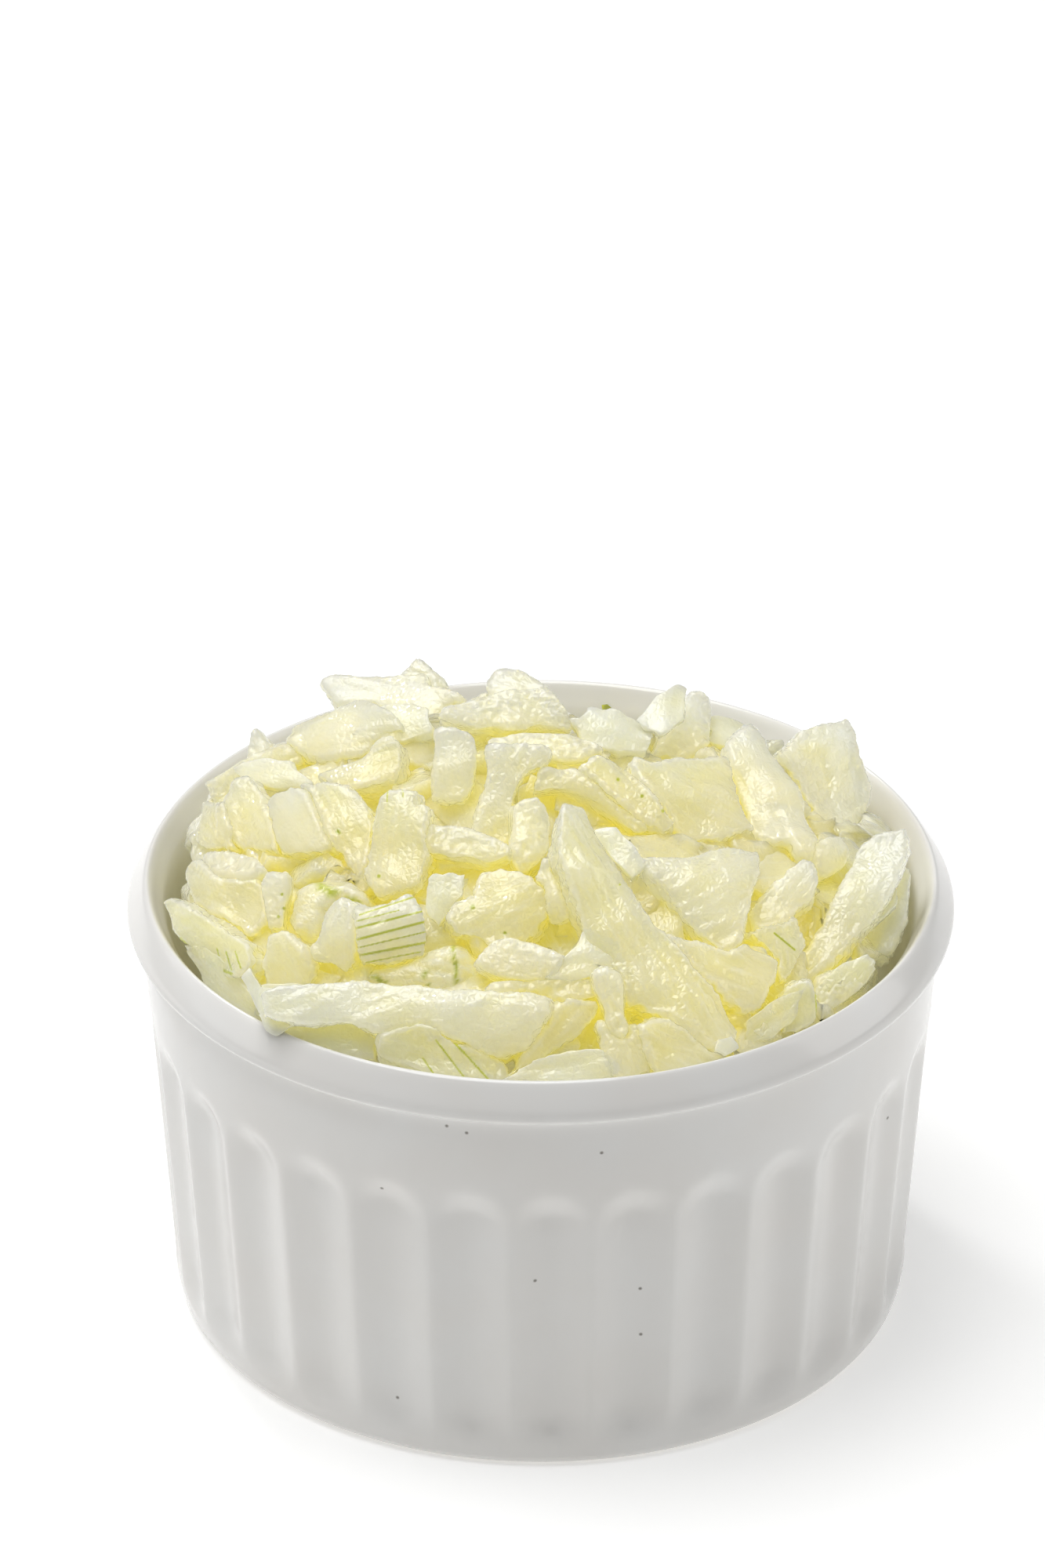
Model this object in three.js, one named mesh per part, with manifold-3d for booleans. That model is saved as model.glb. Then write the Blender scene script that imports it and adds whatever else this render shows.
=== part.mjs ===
import * as THREE from 'three';
import { mergeVertices } from 'three/addons/utils/BufferGeometryUtils.js';
import Module from 'manifold-3d';

// A white fluted ramekin heaped with chopped onion. Millimetres, +Z up.
// The origin is the centre of the foot, on the surface that the ramekin stands on, and the
// front of the heap faces -Y.

// Ramekin: rim and foot diameters, height, wall and floor
const RIM_DIAMETER = 90;
const HEIGHT = 50.5;
const FOOT_DIAMETER = 79;
const MOUTH_DIAMETER = 81;
const FLOOR_THICKNESS = 4.5;
const FOOT_RECESS = 1.2;
const FLUTES = 30;
const FLUTE_DEPTH = 1.1;
const FLUTE_BOTTOM = 3.5;
const FLUTE_TOP = 36;
const STEPS_PER_FLUTE = 4;
const CAVITY_SIDES = 60;

// Heap: a lopsided dome, higher at the back, that meets the rim at the front
const CROWN = 15;
const CROWN_X = -3;
const CROWN_Y = 6;
const HEAP_HALF_WIDTH = 44;
const HEAP_FRONT = 42;
const HEAP_BACK = 34;
// Skyline of the heap as seen from the front, [right, up]: lower on the right, where the inside
// of the back wall shows above it
const SKYLINE = [[-44, 0], [-36, 8], [-30, 13.5], [-24, 18.5], [0, 19], [6, 13], [24, 12.5], [34, 13.5],
  [40, 4], [44, -2]];

// Clear gap between neighbouring pieces, and between a piece and the ramekin
const GAP = 0.3;
// Depth of the packed bed under the top pieces, and the small chips that stand out of it
const BED_DEPTH = 8;
const BED_CHIPS = 36;
const BACK_CHIPS = 8;

// The outlines below are drawn as the pieces show from one place in front of the heap:
// millimetres to the right of the rim's centre and up from it, square to that line of sight
const EYE_DISTANCE = 905;
const EYE_ELEVATION = THREE.MathUtils.degToRad(30.5);
const EYE_RIGHT = -2;

const GLAZE = { color: '#f1f1ef', roughness: 0.18, metalness: 0 };
const FLESH = { color: '#e8e6c8', roughness: 0.35, metalness: 0 };
const GREEN_FLESH = { color: '#dfe0a8', roughness: 0.35, metalness: 0 };

const wasm = await Module();
wasm.setup();

const group = new THREE.Group();
group.name = 'ramekin_of_chopped_onion';

// Solids from closed meshes and back
function solidOf(points, faces) {
  const geometry = new THREE.BufferGeometry();
  const coordinates = points.flatMap((point) => point.toArray());
  geometry.setAttribute('position', new THREE.Float32BufferAttribute(coordinates, 3));
  geometry.setIndex(faces.flat());
  const merged = mergeVertices(geometry, 1e-4);
  return new wasm.Manifold(new wasm.Mesh({
    numProp: 3,
    vertProperties: new Float32Array(merged.attributes.position.array),
    triVerts: new Uint32Array(merged.index.array),
  }));
}

function geometryOf(solid) {
  const mesh = solid.getMesh();
  const geometry = new THREE.BufferGeometry();
  geometry.setAttribute('position', new THREE.BufferAttribute(new Float32Array(mesh.vertProperties), 3));
  geometry.setIndex(new THREE.BufferAttribute(new Uint32Array(mesh.triVerts), 1));
  geometry.computeVertexNormals();
  return geometry;
}

function largestBody(solid) {
  const bodies = solid.decompose();
  return bodies.reduce((best, body) => (body.volume() > best.volume() ? body : best), bodies[0]);
}

function addMesh(name, solid, finish) {
  const mesh = new THREE.Mesh(geometryOf(solid), new THREE.MeshStandardMaterial(finish));
  mesh.name = name;
  group.add(mesh);
}

// Rings of points, lowest first, closed by a point on the axis at both ends
function ringSolid(rings, sides, bottomZ, topZ) {
  const points = rings.flatMap((ring) => Array.from({ length: sides }, (_, i) => ring(i)));
  const bottom = points.push(new THREE.Vector3(0, 0, bottomZ)) - 1;
  const top = points.push(new THREE.Vector3(0, 0, topZ)) - 1;
  const faces = [];
  const last = (rings.length - 1) * sides;
  for (let i = 0; i < sides; i += 1) {
    const j = (i + 1) % sides;
    faces.push([bottom, j, i], [top, last + i, last + j]);
    for (let k = 0; k < rings.length - 1; k += 1) {
      const low = k * sides;
      const high = low + sides;
      faces.push([low + i, low + j, high + j], [low + i, high + j, high + i]);
    }
  }
  return solidOf(points, faces);
}

function turned(profile, sides, bottomZ, topZ) {
  const rings = profile.map(([radius, z]) => (i) => {
    const angle = (i / sides) * 2 * Math.PI;
    return new THREE.Vector3(radius * Math.sin(angle), -radius * Math.cos(angle), z);
  });
  return ringSolid(rings, sides, bottomZ, topZ);
}

// Ramekin: wall radius at a height, and the flutes cut into it with arched tops
const rimRadius = RIM_DIAMETER / 2;
const footRadius = FOOT_DIAMETER / 2;
const mouthRadius = MOUTH_DIAMETER / 2;
const flutePitch = (2 * Math.PI) / FLUTES;
const wallTaper = 0.068;
const wallAtFoot = footRadius + 0.9;

function wallRadius(z) {
  return wallAtFoot + wallTaper * z;
}

function fluteCut(angle, z) {
  const across = 2 * (angle / flutePitch - Math.round(angle / flutePitch));
  const scallop = 1 - Math.abs(across) ** 2.2;
  const archTop = FLUTE_TOP - 3 * (1 - Math.sqrt(Math.max(0, 1 - across ** 2)));
  const fadeTop = THREE.MathUtils.smoothstep(archTop - z, 0, 2.4);
  const fadeBottom = THREE.MathUtils.smoothstep(z, FLUTE_BOTTOM - 1.5, FLUTE_BOTTOM + 2.5);
  return FLUTE_DEPTH * scallop * fadeTop * fadeBottom;
}

function ramekinSolid() {
  const sides = FLUTES * STEPS_PER_FLUTE;
  const footRings = [[footRadius - 6, FOOT_RECESS], [footRadius - 5, 0], [footRadius - 0.8, 0],
    [footRadius + 0.5, 0.5], [wallRadius(2), 2]];
  const flutedHeights = [FLUTE_BOTTOM + 0.5, FLUTE_BOTTOM + 2.5, 30, 33, 34.6, FLUTE_TOP];
  const rimRings = [[wallRadius(44.4), 44.4], [rimRadius - 1.0, 46.2], [rimRadius - 0.1, 47.3],
    [rimRadius, 48.3], [rimRadius - 0.25, 49.4], [rimRadius - 0.7, 50.1], [rimRadius - 1.3, HEIGHT]];
  const plainRing = ([radius, z]) => (i) => {
    const angle = (i / sides) * 2 * Math.PI;
    return new THREE.Vector3(radius * Math.sin(angle), -radius * Math.cos(angle), z);
  };
  const flutedRing = (z) => (i) => {
    const angle = (i / sides) * 2 * Math.PI;
    const radius = wallRadius(z) - fluteCut(angle, z);
    return new THREE.Vector3(radius * Math.sin(angle), -radius * Math.cos(angle), z);
  };
  const outside = ringSolid(
    [...footRings.map(plainRing), ...flutedHeights.map(flutedRing), ...rimRings.map(plainRing)],
    sides, FOOT_RECESS, HEIGHT);
  return outside.subtract(cavitySolid(0));
}

// Inside of the ramekin, shrunk by a clearance and open above the rim
function cavitySolid(clearance) {
  const c = clearance;
  const profile = [[mouthRadius - 7.5 - c, FLOOR_THICKNESS + c],
    [mouthRadius - 4.2 - c, FLOOR_THICKNESS + 1 + c],
    [mouthRadius - 2.8 - c, FLOOR_THICKNESS + 4], [mouthRadius - 0.6 - c, 38],
    [mouthRadius - c, HEIGHT - 3.2], [mouthRadius + 0.9 - c, HEIGHT - 1.3 + c],
    [mouthRadius + 1.7 - c, HEIGHT - 0.7 + c], [mouthRadius + 3.2, HEIGHT + c]];
  const top = c > 0 ? [[rimRadius - 0.4, HEIGHT + c], [rimRadius - 0.4, HEIGHT + 30]]
    : [[mouthRadius + 3.2, HEIGHT + 2]];
  const closing = top[top.length - 1][1];
  return turned([...profile, ...top], CAVITY_SIDES, FLOOR_THICKNESS + c, closing);
}

// Height of the heap above the rim
function heapHeight(x, y) {
  const reach = y < CROWN_Y ? HEAP_FRONT : HEAP_BACK;
  return CROWN * (1 - ((x - CROWN_X) / HEAP_HALF_WIDTH) ** 2 - ((y - CROWN_Y) / reach) ** 2);
}

// The same, with the back slope kept under the skyline
function packedHeight(x, y) {
  const i = SKYLINE.findIndex(([right]) => right > x);
  const [[x0, up0], [x1, up1]] = i < 1 ? [SKYLINE[0], SKYLINE[1]] : [SKYLINE[i - 1], SKYLINE[i]];
  const up = THREE.MathUtils.lerp(up0, up1, (x - x0) / (x1 - x0));
  const behind = (up - y * Math.sin(EYE_ELEVATION)) / Math.cos(EYE_ELEVATION);
  return Math.min(heapHeight(x, y), behind);
}

function heapNormal(x, y, height = heapHeight) {
  const step = 0.5;
  const slopeX = (height(x + step, y) - height(x - step, y)) / (2 * step);
  const slopeY = (height(x, y + step) - height(x, y - step)) / (2 * step);
  return new THREE.Vector3(-slopeX, -slopeY, 1).normalize();
}

// Line of sight through a point of the drawing
const rimCentre = new THREE.Vector3(0, 0, HEIGHT);
const viewUp = new THREE.Vector3(0, Math.sin(EYE_ELEVATION), Math.cos(EYE_ELEVATION));
const eye = new THREE.Vector3(EYE_RIGHT, -EYE_DISTANCE * Math.cos(EYE_ELEVATION),
  HEIGHT + EYE_DISTANCE * Math.sin(EYE_ELEVATION));

function sightLine([right, up]) {
  const through = rimCentre.clone().add(new THREE.Vector3(right, 0, 0)).addScaledVector(viewUp, up);
  return through.sub(eye).normalize();
}

// Point where a line of sight first comes down to the heap, or passes closest over it
function heapPoint(seen) {
  const sight = sightLine(seen);
  let nearest = null;
  let clearance = Infinity;
  for (let distance = EYE_DISTANCE - 60; distance < EYE_DISTANCE + 30 && clearance > 0; distance += 0.25) {
    const point = eye.clone().addScaledVector(sight, distance);
    const above = point.z - HEIGHT - heapHeight(point.x, point.y);
    if (above < clearance) {
      nearest = point;
      clearance = above;
    }
  }
  return nearest;
}

// Seeded draws, so that every run builds the same heap
function seededDraws(seed) {
  let state = seed;
  return (low, high) => {
    state = (Math.imul(state, 1664525) + 1013904223) >>> 0;
    return low + (high - low) * (state / 4294967296);
  };
}

// Outline moved outwards by a margin, in its own plane
function widened(outline, margin) {
  return outline.map((point, i) => {
    const before = outline[(i + outline.length - 1) % outline.length];
    const after = outline[(i + 1) % outline.length];
    const intoEdge = point.clone().sub(before).normalize();
    const outEdge = after.clone().sub(point).normalize();
    const normalIn = new THREE.Vector2(intoEdge.y, -intoEdge.x);
    const normalOut = new THREE.Vector2(outEdge.y, -outEdge.x);
    const miter = normalIn.clone().add(normalOut);
    const spread = Math.max(0.5, 1 + normalIn.dot(normalOut));
    return point.clone().addScaledVector(miter, margin / spread);
  });
}

function signedArea(outline) {
  return outline.reduce((sum, p, i) => {
    const q = outline[(i + 1) % outline.length];
    return sum + (p.x * q.y - q.x * p.y) / 2;
  }, 0);
}

// A chip is a slab cut from one onion layer: an outline in its own plane, bowed across the
// grain like the layer it came from, and thinner towards one end where the knife ran out.
// frame: { centre, normal, along }, outline: 2D points, hub: the point its faces fan out from
function chipSolid({ frame, outline, hub, thick, bow, thin = 0 }, margin) {
  const across = new THREE.Vector3().crossVectors(frame.normal, frame.along);
  const rim = widened(outline, margin);
  const reach = Math.max(...outline.map((p) => Math.abs(p.x)));
  const place = (p, depth) => {
    const sag = bow === 0 ? 0 : (p.y ** 2) / (2 * bow);
    const left = Math.max(0.35, 1 - thin * Math.max(0, p.x / reach));
    const sink = depth === 0 ? -margin : thick * left + margin;
    return frame.centre.clone()
      .addScaledVector(frame.along, p.x)
      .addScaledVector(across, p.y)
      .addScaledVector(frame.normal, -sag - sink);
  };
  const middle = rim.map((p) => p.clone().sub(hub).multiplyScalar(0.55).add(hub));
  const n = rim.length;
  const points = [];
  for (const depth of [0, 1]) {
    points.push(place(hub, depth));
    points.push(...middle.map((p) => place(p, depth)));
    points.push(...rim.map((p) => place(p, depth)));
  }
  const back = 1 + 2 * n;
  const faces = [];
  for (let i = 0; i < n; i += 1) {
    const j = (i + 1) % n;
    faces.push([0, 1 + i, 1 + j]);
    faces.push([1 + i, 1 + n + i, 1 + n + j], [1 + i, 1 + n + j, 1 + j]);
    faces.push([back, back + 1 + j, back + 1 + i]);
    faces.push([back + 1 + i, back + 1 + n + j, back + 1 + n + i]);
    faces.push([back + 1 + i, back + 1 + j, back + 1 + n + j]);
    faces.push([1 + n + i, back + 1 + n + i, back + 1 + n + j]);
    faces.push([1 + n + i, back + 1 + n + j, 1 + n + j]);
  }
  return solidOf(points, faces);
}

// A named piece, from its outline as seen: near is how far its face stands out of the heap
// towards the eye, lean turns the face to the right and to the front
function seenChip({ corners, centre, near = 0, lean = [0, 0], thick = 3, bow = 18, grain = 0, thin = 0 }) {
  const middle = centre ?? [0, 1].map((k) => corners.reduce((sum, c) => sum + c[k], 0) / corners.length);
  const ground = heapPoint(middle);
  const sight = sightLine(middle);
  const origin = ground.clone().addScaledVector(sight, -near);
  const normal = heapNormal(ground.x, ground.y).add(new THREE.Vector3(lean[0], -lean[1], 0)).normalize();
  const onPlane = (seen) => {
    const ray = sightLine(seen);
    const distance = origin.clone().sub(eye).dot(normal) / ray.dot(normal);
    return eye.clone().addScaledVector(ray, distance);
  };
  const angle = THREE.MathUtils.degToRad(grain);
  const ahead = onPlane([middle[0] + Math.cos(angle), middle[1] + Math.sin(angle)]);
  const along = ahead.sub(origin).normalize();
  const across = new THREE.Vector3().crossVectors(normal, along);
  const outline = corners.map((seen) => {
    const offset = onPlane(seen).sub(origin);
    return new THREE.Vector2(offset.dot(along), offset.dot(across));
  });
  if (signedArea(outline) < 0) {
    outline.reverse();
  }
  const frame = { centre: origin, normal, along };
  return { frame, outline, hub: new THREE.Vector2(0, 0), thick, bow, thin };
}

// A chip drawn by rule: an uneven polygon with its long side along the grain
function drawnChip(draw, position, normal, length, width, thick) {
  const turn = draw(0, 2 * Math.PI);
  const side = Math.abs(normal.z) > 0.9 ? new THREE.Vector3(1, 0, 0) : new THREE.Vector3(0, 0, 1);
  const along = new THREE.Vector3().crossVectors(normal, side).normalize().applyAxisAngle(normal, turn);
  const count = Math.round(draw(5, 7));
  const outline = Array.from({ length: count }, (_, i) => {
    const angle = ((i + draw(-0.25, 0.25)) / count) * 2 * Math.PI;
    const reach = draw(0.85, 1.15) / 2;
    return new THREE.Vector2(length * reach * Math.cos(angle), width * reach * Math.sin(angle));
  });
  return {
    frame: { centre: position, normal, along }, outline, hub: new THREE.Vector2(0, 0), thick,
    bow: draw(9, 20), thin: draw(0, 0.5),
  };
}

// Top pieces, nearest first. Each corner is [right, up] in millimetres as seen from the front.
const PIECES = [
  { name: 'long_strip', near: 4.5, lean: [0.1, 0.3], thick: 4.2, bow: 7, grain: -52, centre: [9.5, -5.5],
    corners: [[2, 7.6], [4.6, 7.5], [7.2, 4], [8.9, 0.4], [11, -3.9], [14, -6.9], [16.3, -9.6], [20, -13.8],
      [22, -16.8], [20.9, -18.2], [18.4, -19.2], [16, -17], [13.2, -15.2], [10, -13.5], [6.4, -9.2],
      [5.1, -6.4], [4.1, -2.8], [2.2, 2.2], [1.7, 6.4]] },
  { name: 'front_strip', near: 4, lean: [0, 0.5], thick: 2.6, bow: 6, grain: -3, centre: [-13, -15.2],
    corners: [[-30.6, -12.6], [-24.5, -11.9], [-20, -11.8], [-12, -12.3], [-6, -12.8], [-2, -13], [0.8, -14],
      [0.6, -15.4], [-2, -19], [-4.2, -19.7], [-7.5, -18.4], [-12, -17.6], [-17.2, -17.7], [-21, -16.3],
      [-25.5, -16.4], [-30.2, -15.8]] },
  { name: 'crescent_right', near: 3, lean: [-0.5, 0.3], thick: 3.4, bow: 22, grain: 55, centre: [33.4, -3],
    corners: [[39.9, 5.3], [40.1, 3.8], [39.4, 1.2], [38.2, -1.9], [36.2, -5], [33.4, -7.8], [30.6, -10.2],
      [28.6, -12.1], [27.3, -11.5], [27.8, -9.4], [28.8, -7.2], [30.2, -5.4], [31.9, -3], [33.6, 0.2],
      [34.5, 2.8], [36.6, 4.2]] },
  { name: 'triangle_chunk', near: 3.5, lean: [-0.1, 0.2], thick: 4.4, bow: 26, grain: -10, centre: [19, -0.8],
    corners: [[10.6, 1.1], [15.2, 1.9], [20, 3.5], [24, 2.7], [24.2, 0], [23.2, -3.2], [22.2, -6.6],
      [20.8, -8.1], [18.6, -7.2], [15, -3.8], [12, -1.4]] },
  { name: 'striped_cap', near: 3.5, lean: [0.25, 0.7], thick: 1.8, bow: 9, grain: 8, green: true,
    corners: [[-19.9, -3.8], [-16.5, -3.1], [-14.2, -2], [-12.9, -4.2], [-12.4, -6.8], [-13, -9], [-16, -9.8],
      [-19.1, -9.4], [-19.9, -6.5]] },
  { name: 'ruffled_flake', near: 2.4, lean: [-0.4, 0.5], thick: 2.4, bow: 12, grain: 80,
    corners: [[-23.6, -4], [-22.2, -2.7], [-20.2, -3.4], [-20.2, -9], [-21.2, -10.6], [-23, -9.8],
      [-24.8, -9.6], [-25.6, -8.4], [-24.3, -7]] },
  { name: 'small_finger', near: 4, lean: [0, 0.7], thick: 3, bow: 3.5, grain: -72,
    corners: [[6.2, -11], [7.2, -10.4], [9, -10.8], [9.4, -13.5], [9.9, -17], [9.2, -18], [8.2, -17.6],
      [7.2, -15.2], [6.4, -13]] },
  { name: 'white_wedge_centre', near: 3, lean: [-0.1, 0.4], thick: 4, bow: 20, grain: -8,
    corners: [[-7.4, -9.6], [-5.4, -7.4], [-2.6, -7], [0, -8.1], [2.8, -8.8], [1.2, -11.1], [-1.8, -11.7],
      [-5, -10.8]] },
  { name: 'white_blade_right', near: 2.4, lean: [-0.3, 0.3], thick: 3.4, bow: 14, grain: 45,
    corners: [[28.2, 1.8], [29.6, 1.4], [30.8, -0.4], [30.2, -2.4], [28.2, -3.8], [26.4, -5.4], [23.8, -6.2],
      [23, -4.2], [24.6, -2.4], [26.2, -0.8]] },
  { name: 'long_slab_back', near: 3.4, lean: [-0.2, 0.3], thick: 3, bow: 7, grain: -60, centre: [25.4, 9.4],
    corners: [[20, 14.2], [22.4, 16.4], [24.4, 14.6], [27, 11], [29, 7.2], [30, 4.2], [29.4, 1.8], [28.2, 2],
      [27, 3.8], [25.2, 3.9], [23.4, 5.4], [22.2, 8.4]] },
  { name: 'green_edged_point', near: 1.5, lean: [-0.5, 0.4], thick: 3, bow: 16, grain: -38, green: true,
    corners: [[-41.5, -3.6], [-40.8, -2.9], [-38.6, -3.8], [-36.5, -4.6], [-34.8, -6], [-32.6, -7.4],
      [-31.6, -9.4], [-32.4, -11.2], [-34.6, -11], [-37.4, -9.1], [-39.6, -7]] },
  { name: 'bean_piece', near: 2, lean: [0.1, 0.3], thick: 4.2, bow: 9, grain: 30, centre: [-5, -3.4],
    corners: [[-10.4, -4.8], [-9.7, -3.2], [-7.2, -2.4], [-6.6, 0.4], [-4.4, 1.4], [-1.6, 0.6], [0.6, -1.6],
      [1.4, -3.8], [0, -5.6], [-1.8, -7], [-5.2, -7.4], [-7.8, -6.9], [-9.6, -6.4]] },
  { name: 'crumpled_flake', near: 2.6, lean: [-0.1, 0.5], thick: 2.2, bow: 6, grain: -55,
    corners: [[-0.7, -0.6], [0.2, 1.8], [1.4, 2.6], [3.2, 0], [4, -2.6], [3.2, -4.7], [2, -5.2], [0.4, -4]] },
  { name: 'white_wedge_back', near: 4, lean: [0, 0.9], thick: 4, bow: 22, grain: 70,
    corners: [[12.2, 12.8], [13.6, 15.6], [15.2, 18.4], [16.4, 20.2], [17.8, 20.2], [18.6, 18.6],
      [18.9, 16.6], [18.6, 14.4], [17.2, 13], [15.4, 12.1]] },
  { name: 'dotted_bar', near: 2.6, lean: [0.1, 0.4], thick: 3, bow: 6, grain: -38, green: true,
    corners: [[4.6, 11.6], [6.3, 12.9], [8.4, 12], [10.8, 10], [12.8, 7.8], [15.2, 5.6], [14.2, 4.8],
      [10.4, 6.6], [7.4, 8.8]] },
  { name: 'top_chunk', near: 5, lean: [0.1, 0.8], thick: 5, bow: 16, grain: 12,
    corners: [[-11.1, 17], [-10.2, 18.2], [-6.2, 19.5], [-3.8, 20], [-0.4, 20.4], [1.6, 19.8], [2.9, 18.2],
      [3.8, 16.8], [3.6, 16], [-1, 16.2], [-5.8, 15.6], [-9, 16.2]] },
  { name: 'flake_front_left', near: 4, lean: [-0.2, 0.6], thick: 2.6, bow: 18, grain: 22,
    corners: [[-27.8, 14.6], [-27.6, 16.2], [-25.4, 17.4], [-22.4, 17.9], [-20.4, 18.8], [-18.8, 19],
      [-17.2, 18.2], [-15.6, 17.4], [-15.2, 15.8], [-17.6, 15.6], [-19.6, 13.2], [-24.4, 12.3]] },
  { name: 'bluish_flake', near: 3, lean: [-0.2, 0.6], thick: 2.4, bow: 12, grain: -60,
    corners: [[-29.6, 8.6], [-27.4, 9.4], [-25.8, 8.6], [-24.2, 6], [-22.8, 3], [-23.8, 2.2], [-28.2, 2.2],
      [-29.4, 5], [-30.2, 7.4]] },
  { name: 'tall_slab', near: 3.4, lean: [0, 1], thick: 3, bow: 14, grain: 80,
    corners: [[-11.3, 15.8], [-9, 16], [-7.2, 15.2], [-7.4, 12], [-8, 8.6], [-9, 7.8], [-12.1, 8],
      [-11.9, 9.6], [-11.2, 12.6]] },
  { name: 'thin_white_slab', near: 3, lean: [0.1, 0.9], thick: 2, bow: 20, grain: 85,
    centre: [-4.2, 10.5],
    corners: [[-6.4, 13.6], [-2.8, 14], [1.6, 13.6], [1.4, 12.4], [-1, 11], [-1.9, 9.2], [-2.7, 7.2],
      [-3.2, 2.8], [-7.4, 3.6], [-6.6, 7.2], [-6, 11]] },
  { name: 'striped_flake_front', near: 2.4, lean: [0.1, 0.5], thick: 2, bow: 9, grain: -50, green: true,
    corners: [[-17.4, -18.2], [-13, -17], [-8, -17.4], [-4.4, -19.4], [-3.2, -22], [-4.6, -22.9],
      [-9, -22.9], [-13.4, -22.4], [-17.9, -21.2], [-18, -19.6]] },
  { name: 'bar_centre', near: 1.8, lean: [0, 0.5], thick: 3, bow: 10, grain: -4,
    corners: [[-6, -12.8], [-5.2, -11.9], [-1.4, -11.8], [2, -11.4], [5.8, -11.6], [6.4, -12.6], [6.2, -13.8],
      [1.4, -14.4], [-1.8, -13.6]] },
  { name: 'folded_flake', near: 1.4, lean: [0.3, 0.5], thick: 1.6, bow: 14, grain: 48,
    corners: [[-3.4, -22.4], [-1.6, -19.2], [0.8, -15.2], [3, -14], [6.4, -14.3], [6.1, -15.7], [4, -17.6],
      [0.8, -19.7]] },
  { name: 'crystal_slab_front', near: 1.6, lean: [0.1, 0.3], thick: 2.8, bow: 26, grain: -75,
    corners: [[6.5, -16.2], [8, -16.6], [10.9, -16.6], [11.6, -20], [12, -22], [8.2, -22.6], [7.2, -20.6]] },
  { name: 'slab_front_right', near: 1.8, lean: [0.2, 0.4], thick: 2.8, bow: 20, grain: -20,
    corners: [[10.9, -16.3], [13.2, -15.6], [16, -17.2], [18.2, -19], [20.4, -19.8], [20, -20.5], [16, -21.7],
      [12.2, -22], [11.4, -20]] },
  { name: 'low_slab_front', bed: true, near: 0.4, lean: [0, 0.4], thick: 3, bow: 24, grain: 6,
    corners: [[-3.4, -22.7], [0.5, -20], [5.4, -19.6], [6.6, -20], [7.8, -22.4], [4, -23], [-1, -23.2]] },
  { name: 'block_right', near: 2, lean: [0.1, 0.1], thick: 4.8, bow: 30, grain: -40,
    corners: [[13.6, -6.6], [18, -7.6], [20.4, -8.4], [22.4, -7.2], [26, -9.8], [25.6, -12], [24.2, -14.6],
      [22.6, -15], [20, -13.4], [16.4, -9.8]] },
  { name: 'green_veined_bit', near: 0.8, lean: [0.1, 0.4], thick: 3, bow: 14, grain: -38, green: true,
    corners: [[22.8, -6.6], [24.6, -5.8], [28.2, -4.6], [28.6, -7.8], [27.4, -11.2], [26.2, -12.4],
      [25.8, -9.6]] },
  { name: 'chip_low_right_a', bed: true, near: 0.6, lean: [-0.1, 0.7], thick: 3, bow: 9, grain: 80,
    corners: [[24, -15.2], [25.4, -14], [26.2, -16], [26.2, -17.8], [23.4, -18.8], [22.4, -17.2],
      [22.6, -15.4]] },
  { name: 'chip_low_right_b', near: 1.4, lean: [-0.2, 0.6], thick: 2.6, bow: 12, grain: 70, green: true,
    corners: [[25.8, -13.8], [27.4, -12.4], [29.2, -11.9], [30, -13.6], [30, -16], [28.6, -16.7],
      [26.4, -17.3]] },
  { name: 'chip_low_right_c', near: 0.4, lean: [-0.3, 0.5], thick: 3.4, bow: 18, grain: 30,
    corners: [[29.6, -11.8], [31.6, -10.6], [34, -9], [36, -8.7], [37.2, -10.2], [35, -12.7], [33, -14.2],
      [30.3, -15.6]] },
  { name: 'right_wall_slab', bed: true, near: -1, lean: [-0.9, 0.3], thick: 2.6, bow: 20, grain: 75,
    centre: [38.4, -5.5],
    corners: [[34.4, -7.8], [36.4, -5.6], [38.4, -3.4], [39, 0.8], [40.4, 0.8], [40.2, -3.6], [39, -7.4],
      [37.4, -9.2], [36, -8.2]] },
  { name: 'big_slab_right', near: 3.6, lean: [0.1, 0.8], thick: 3, bow: 30, grain: 70,
    corners: [[26.4, 13.4], [28.8, 15.8], [31, 16.4], [33.8, 16.6], [34.8, 14.4], [35.2, 12], [36, 9.4],
      [35.6, 7.2], [34.6, 3.6], [32.6, 4.2], [30.6, 5], [29, 8.4], [27.6, 11]] },
  { name: 'chip_under_big_slab', near: 2, lean: [0.2, 0.5], thick: 3, bow: 14, grain: 40,
    corners: [[30.4, 2.4], [31.2, 4], [33, 3.8], [34.2, 1.8], [33.4, 0.6], [31.4, -0.6], [30.6, 0.4]] },
  { name: 'wide_slab_back', near: 2, lean: [0.1, 0.5], thick: 3.6, bow: 22, grain: -35, centre: [16.6, 8.6],
    corners: [[10.2, 12.6], [13, 12.2], [17, 13], [20.6, 13.2], [21.8, 9.6], [22.2, 7], [23.6, 5], [20, 3.6],
      [16.2, 3.8], [14.6, 6.4], [12, 8.8], [10.2, 11]] },
  { name: 'lower_bar', near: 1.6, lean: [0, 0.5], thick: 3, bow: 9, grain: -28, centre: [4.6, 9.2],
    corners: [[-0.6, 9], [0.6, 11.4], [4.4, 10.8], [7.4, 8.2], [10.4, 6.8], [12, 5.4], [10.2, 4.8],
      [6, 7.6], [3, 8.8]] },
  { name: 'ribbed_chunk', near: 2.8, lean: [0, 0.6], thick: 3.4, bow: 12, grain: -4, green: true,
    centre: [1.5, 14],
    corners: [[-5.8, 15.2], [-1, 15.8], [3.6, 15.6], [6, 14.6], [7.2, 13], [4.6, 12], [1.8, 12.2],
      [-0.4, 13.2], [-6, 13.2]] },
  { name: 'yellow_lobe', near: 1.4, lean: [0.2, 0.6], thick: 4, bow: 6, grain: 85,
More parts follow.
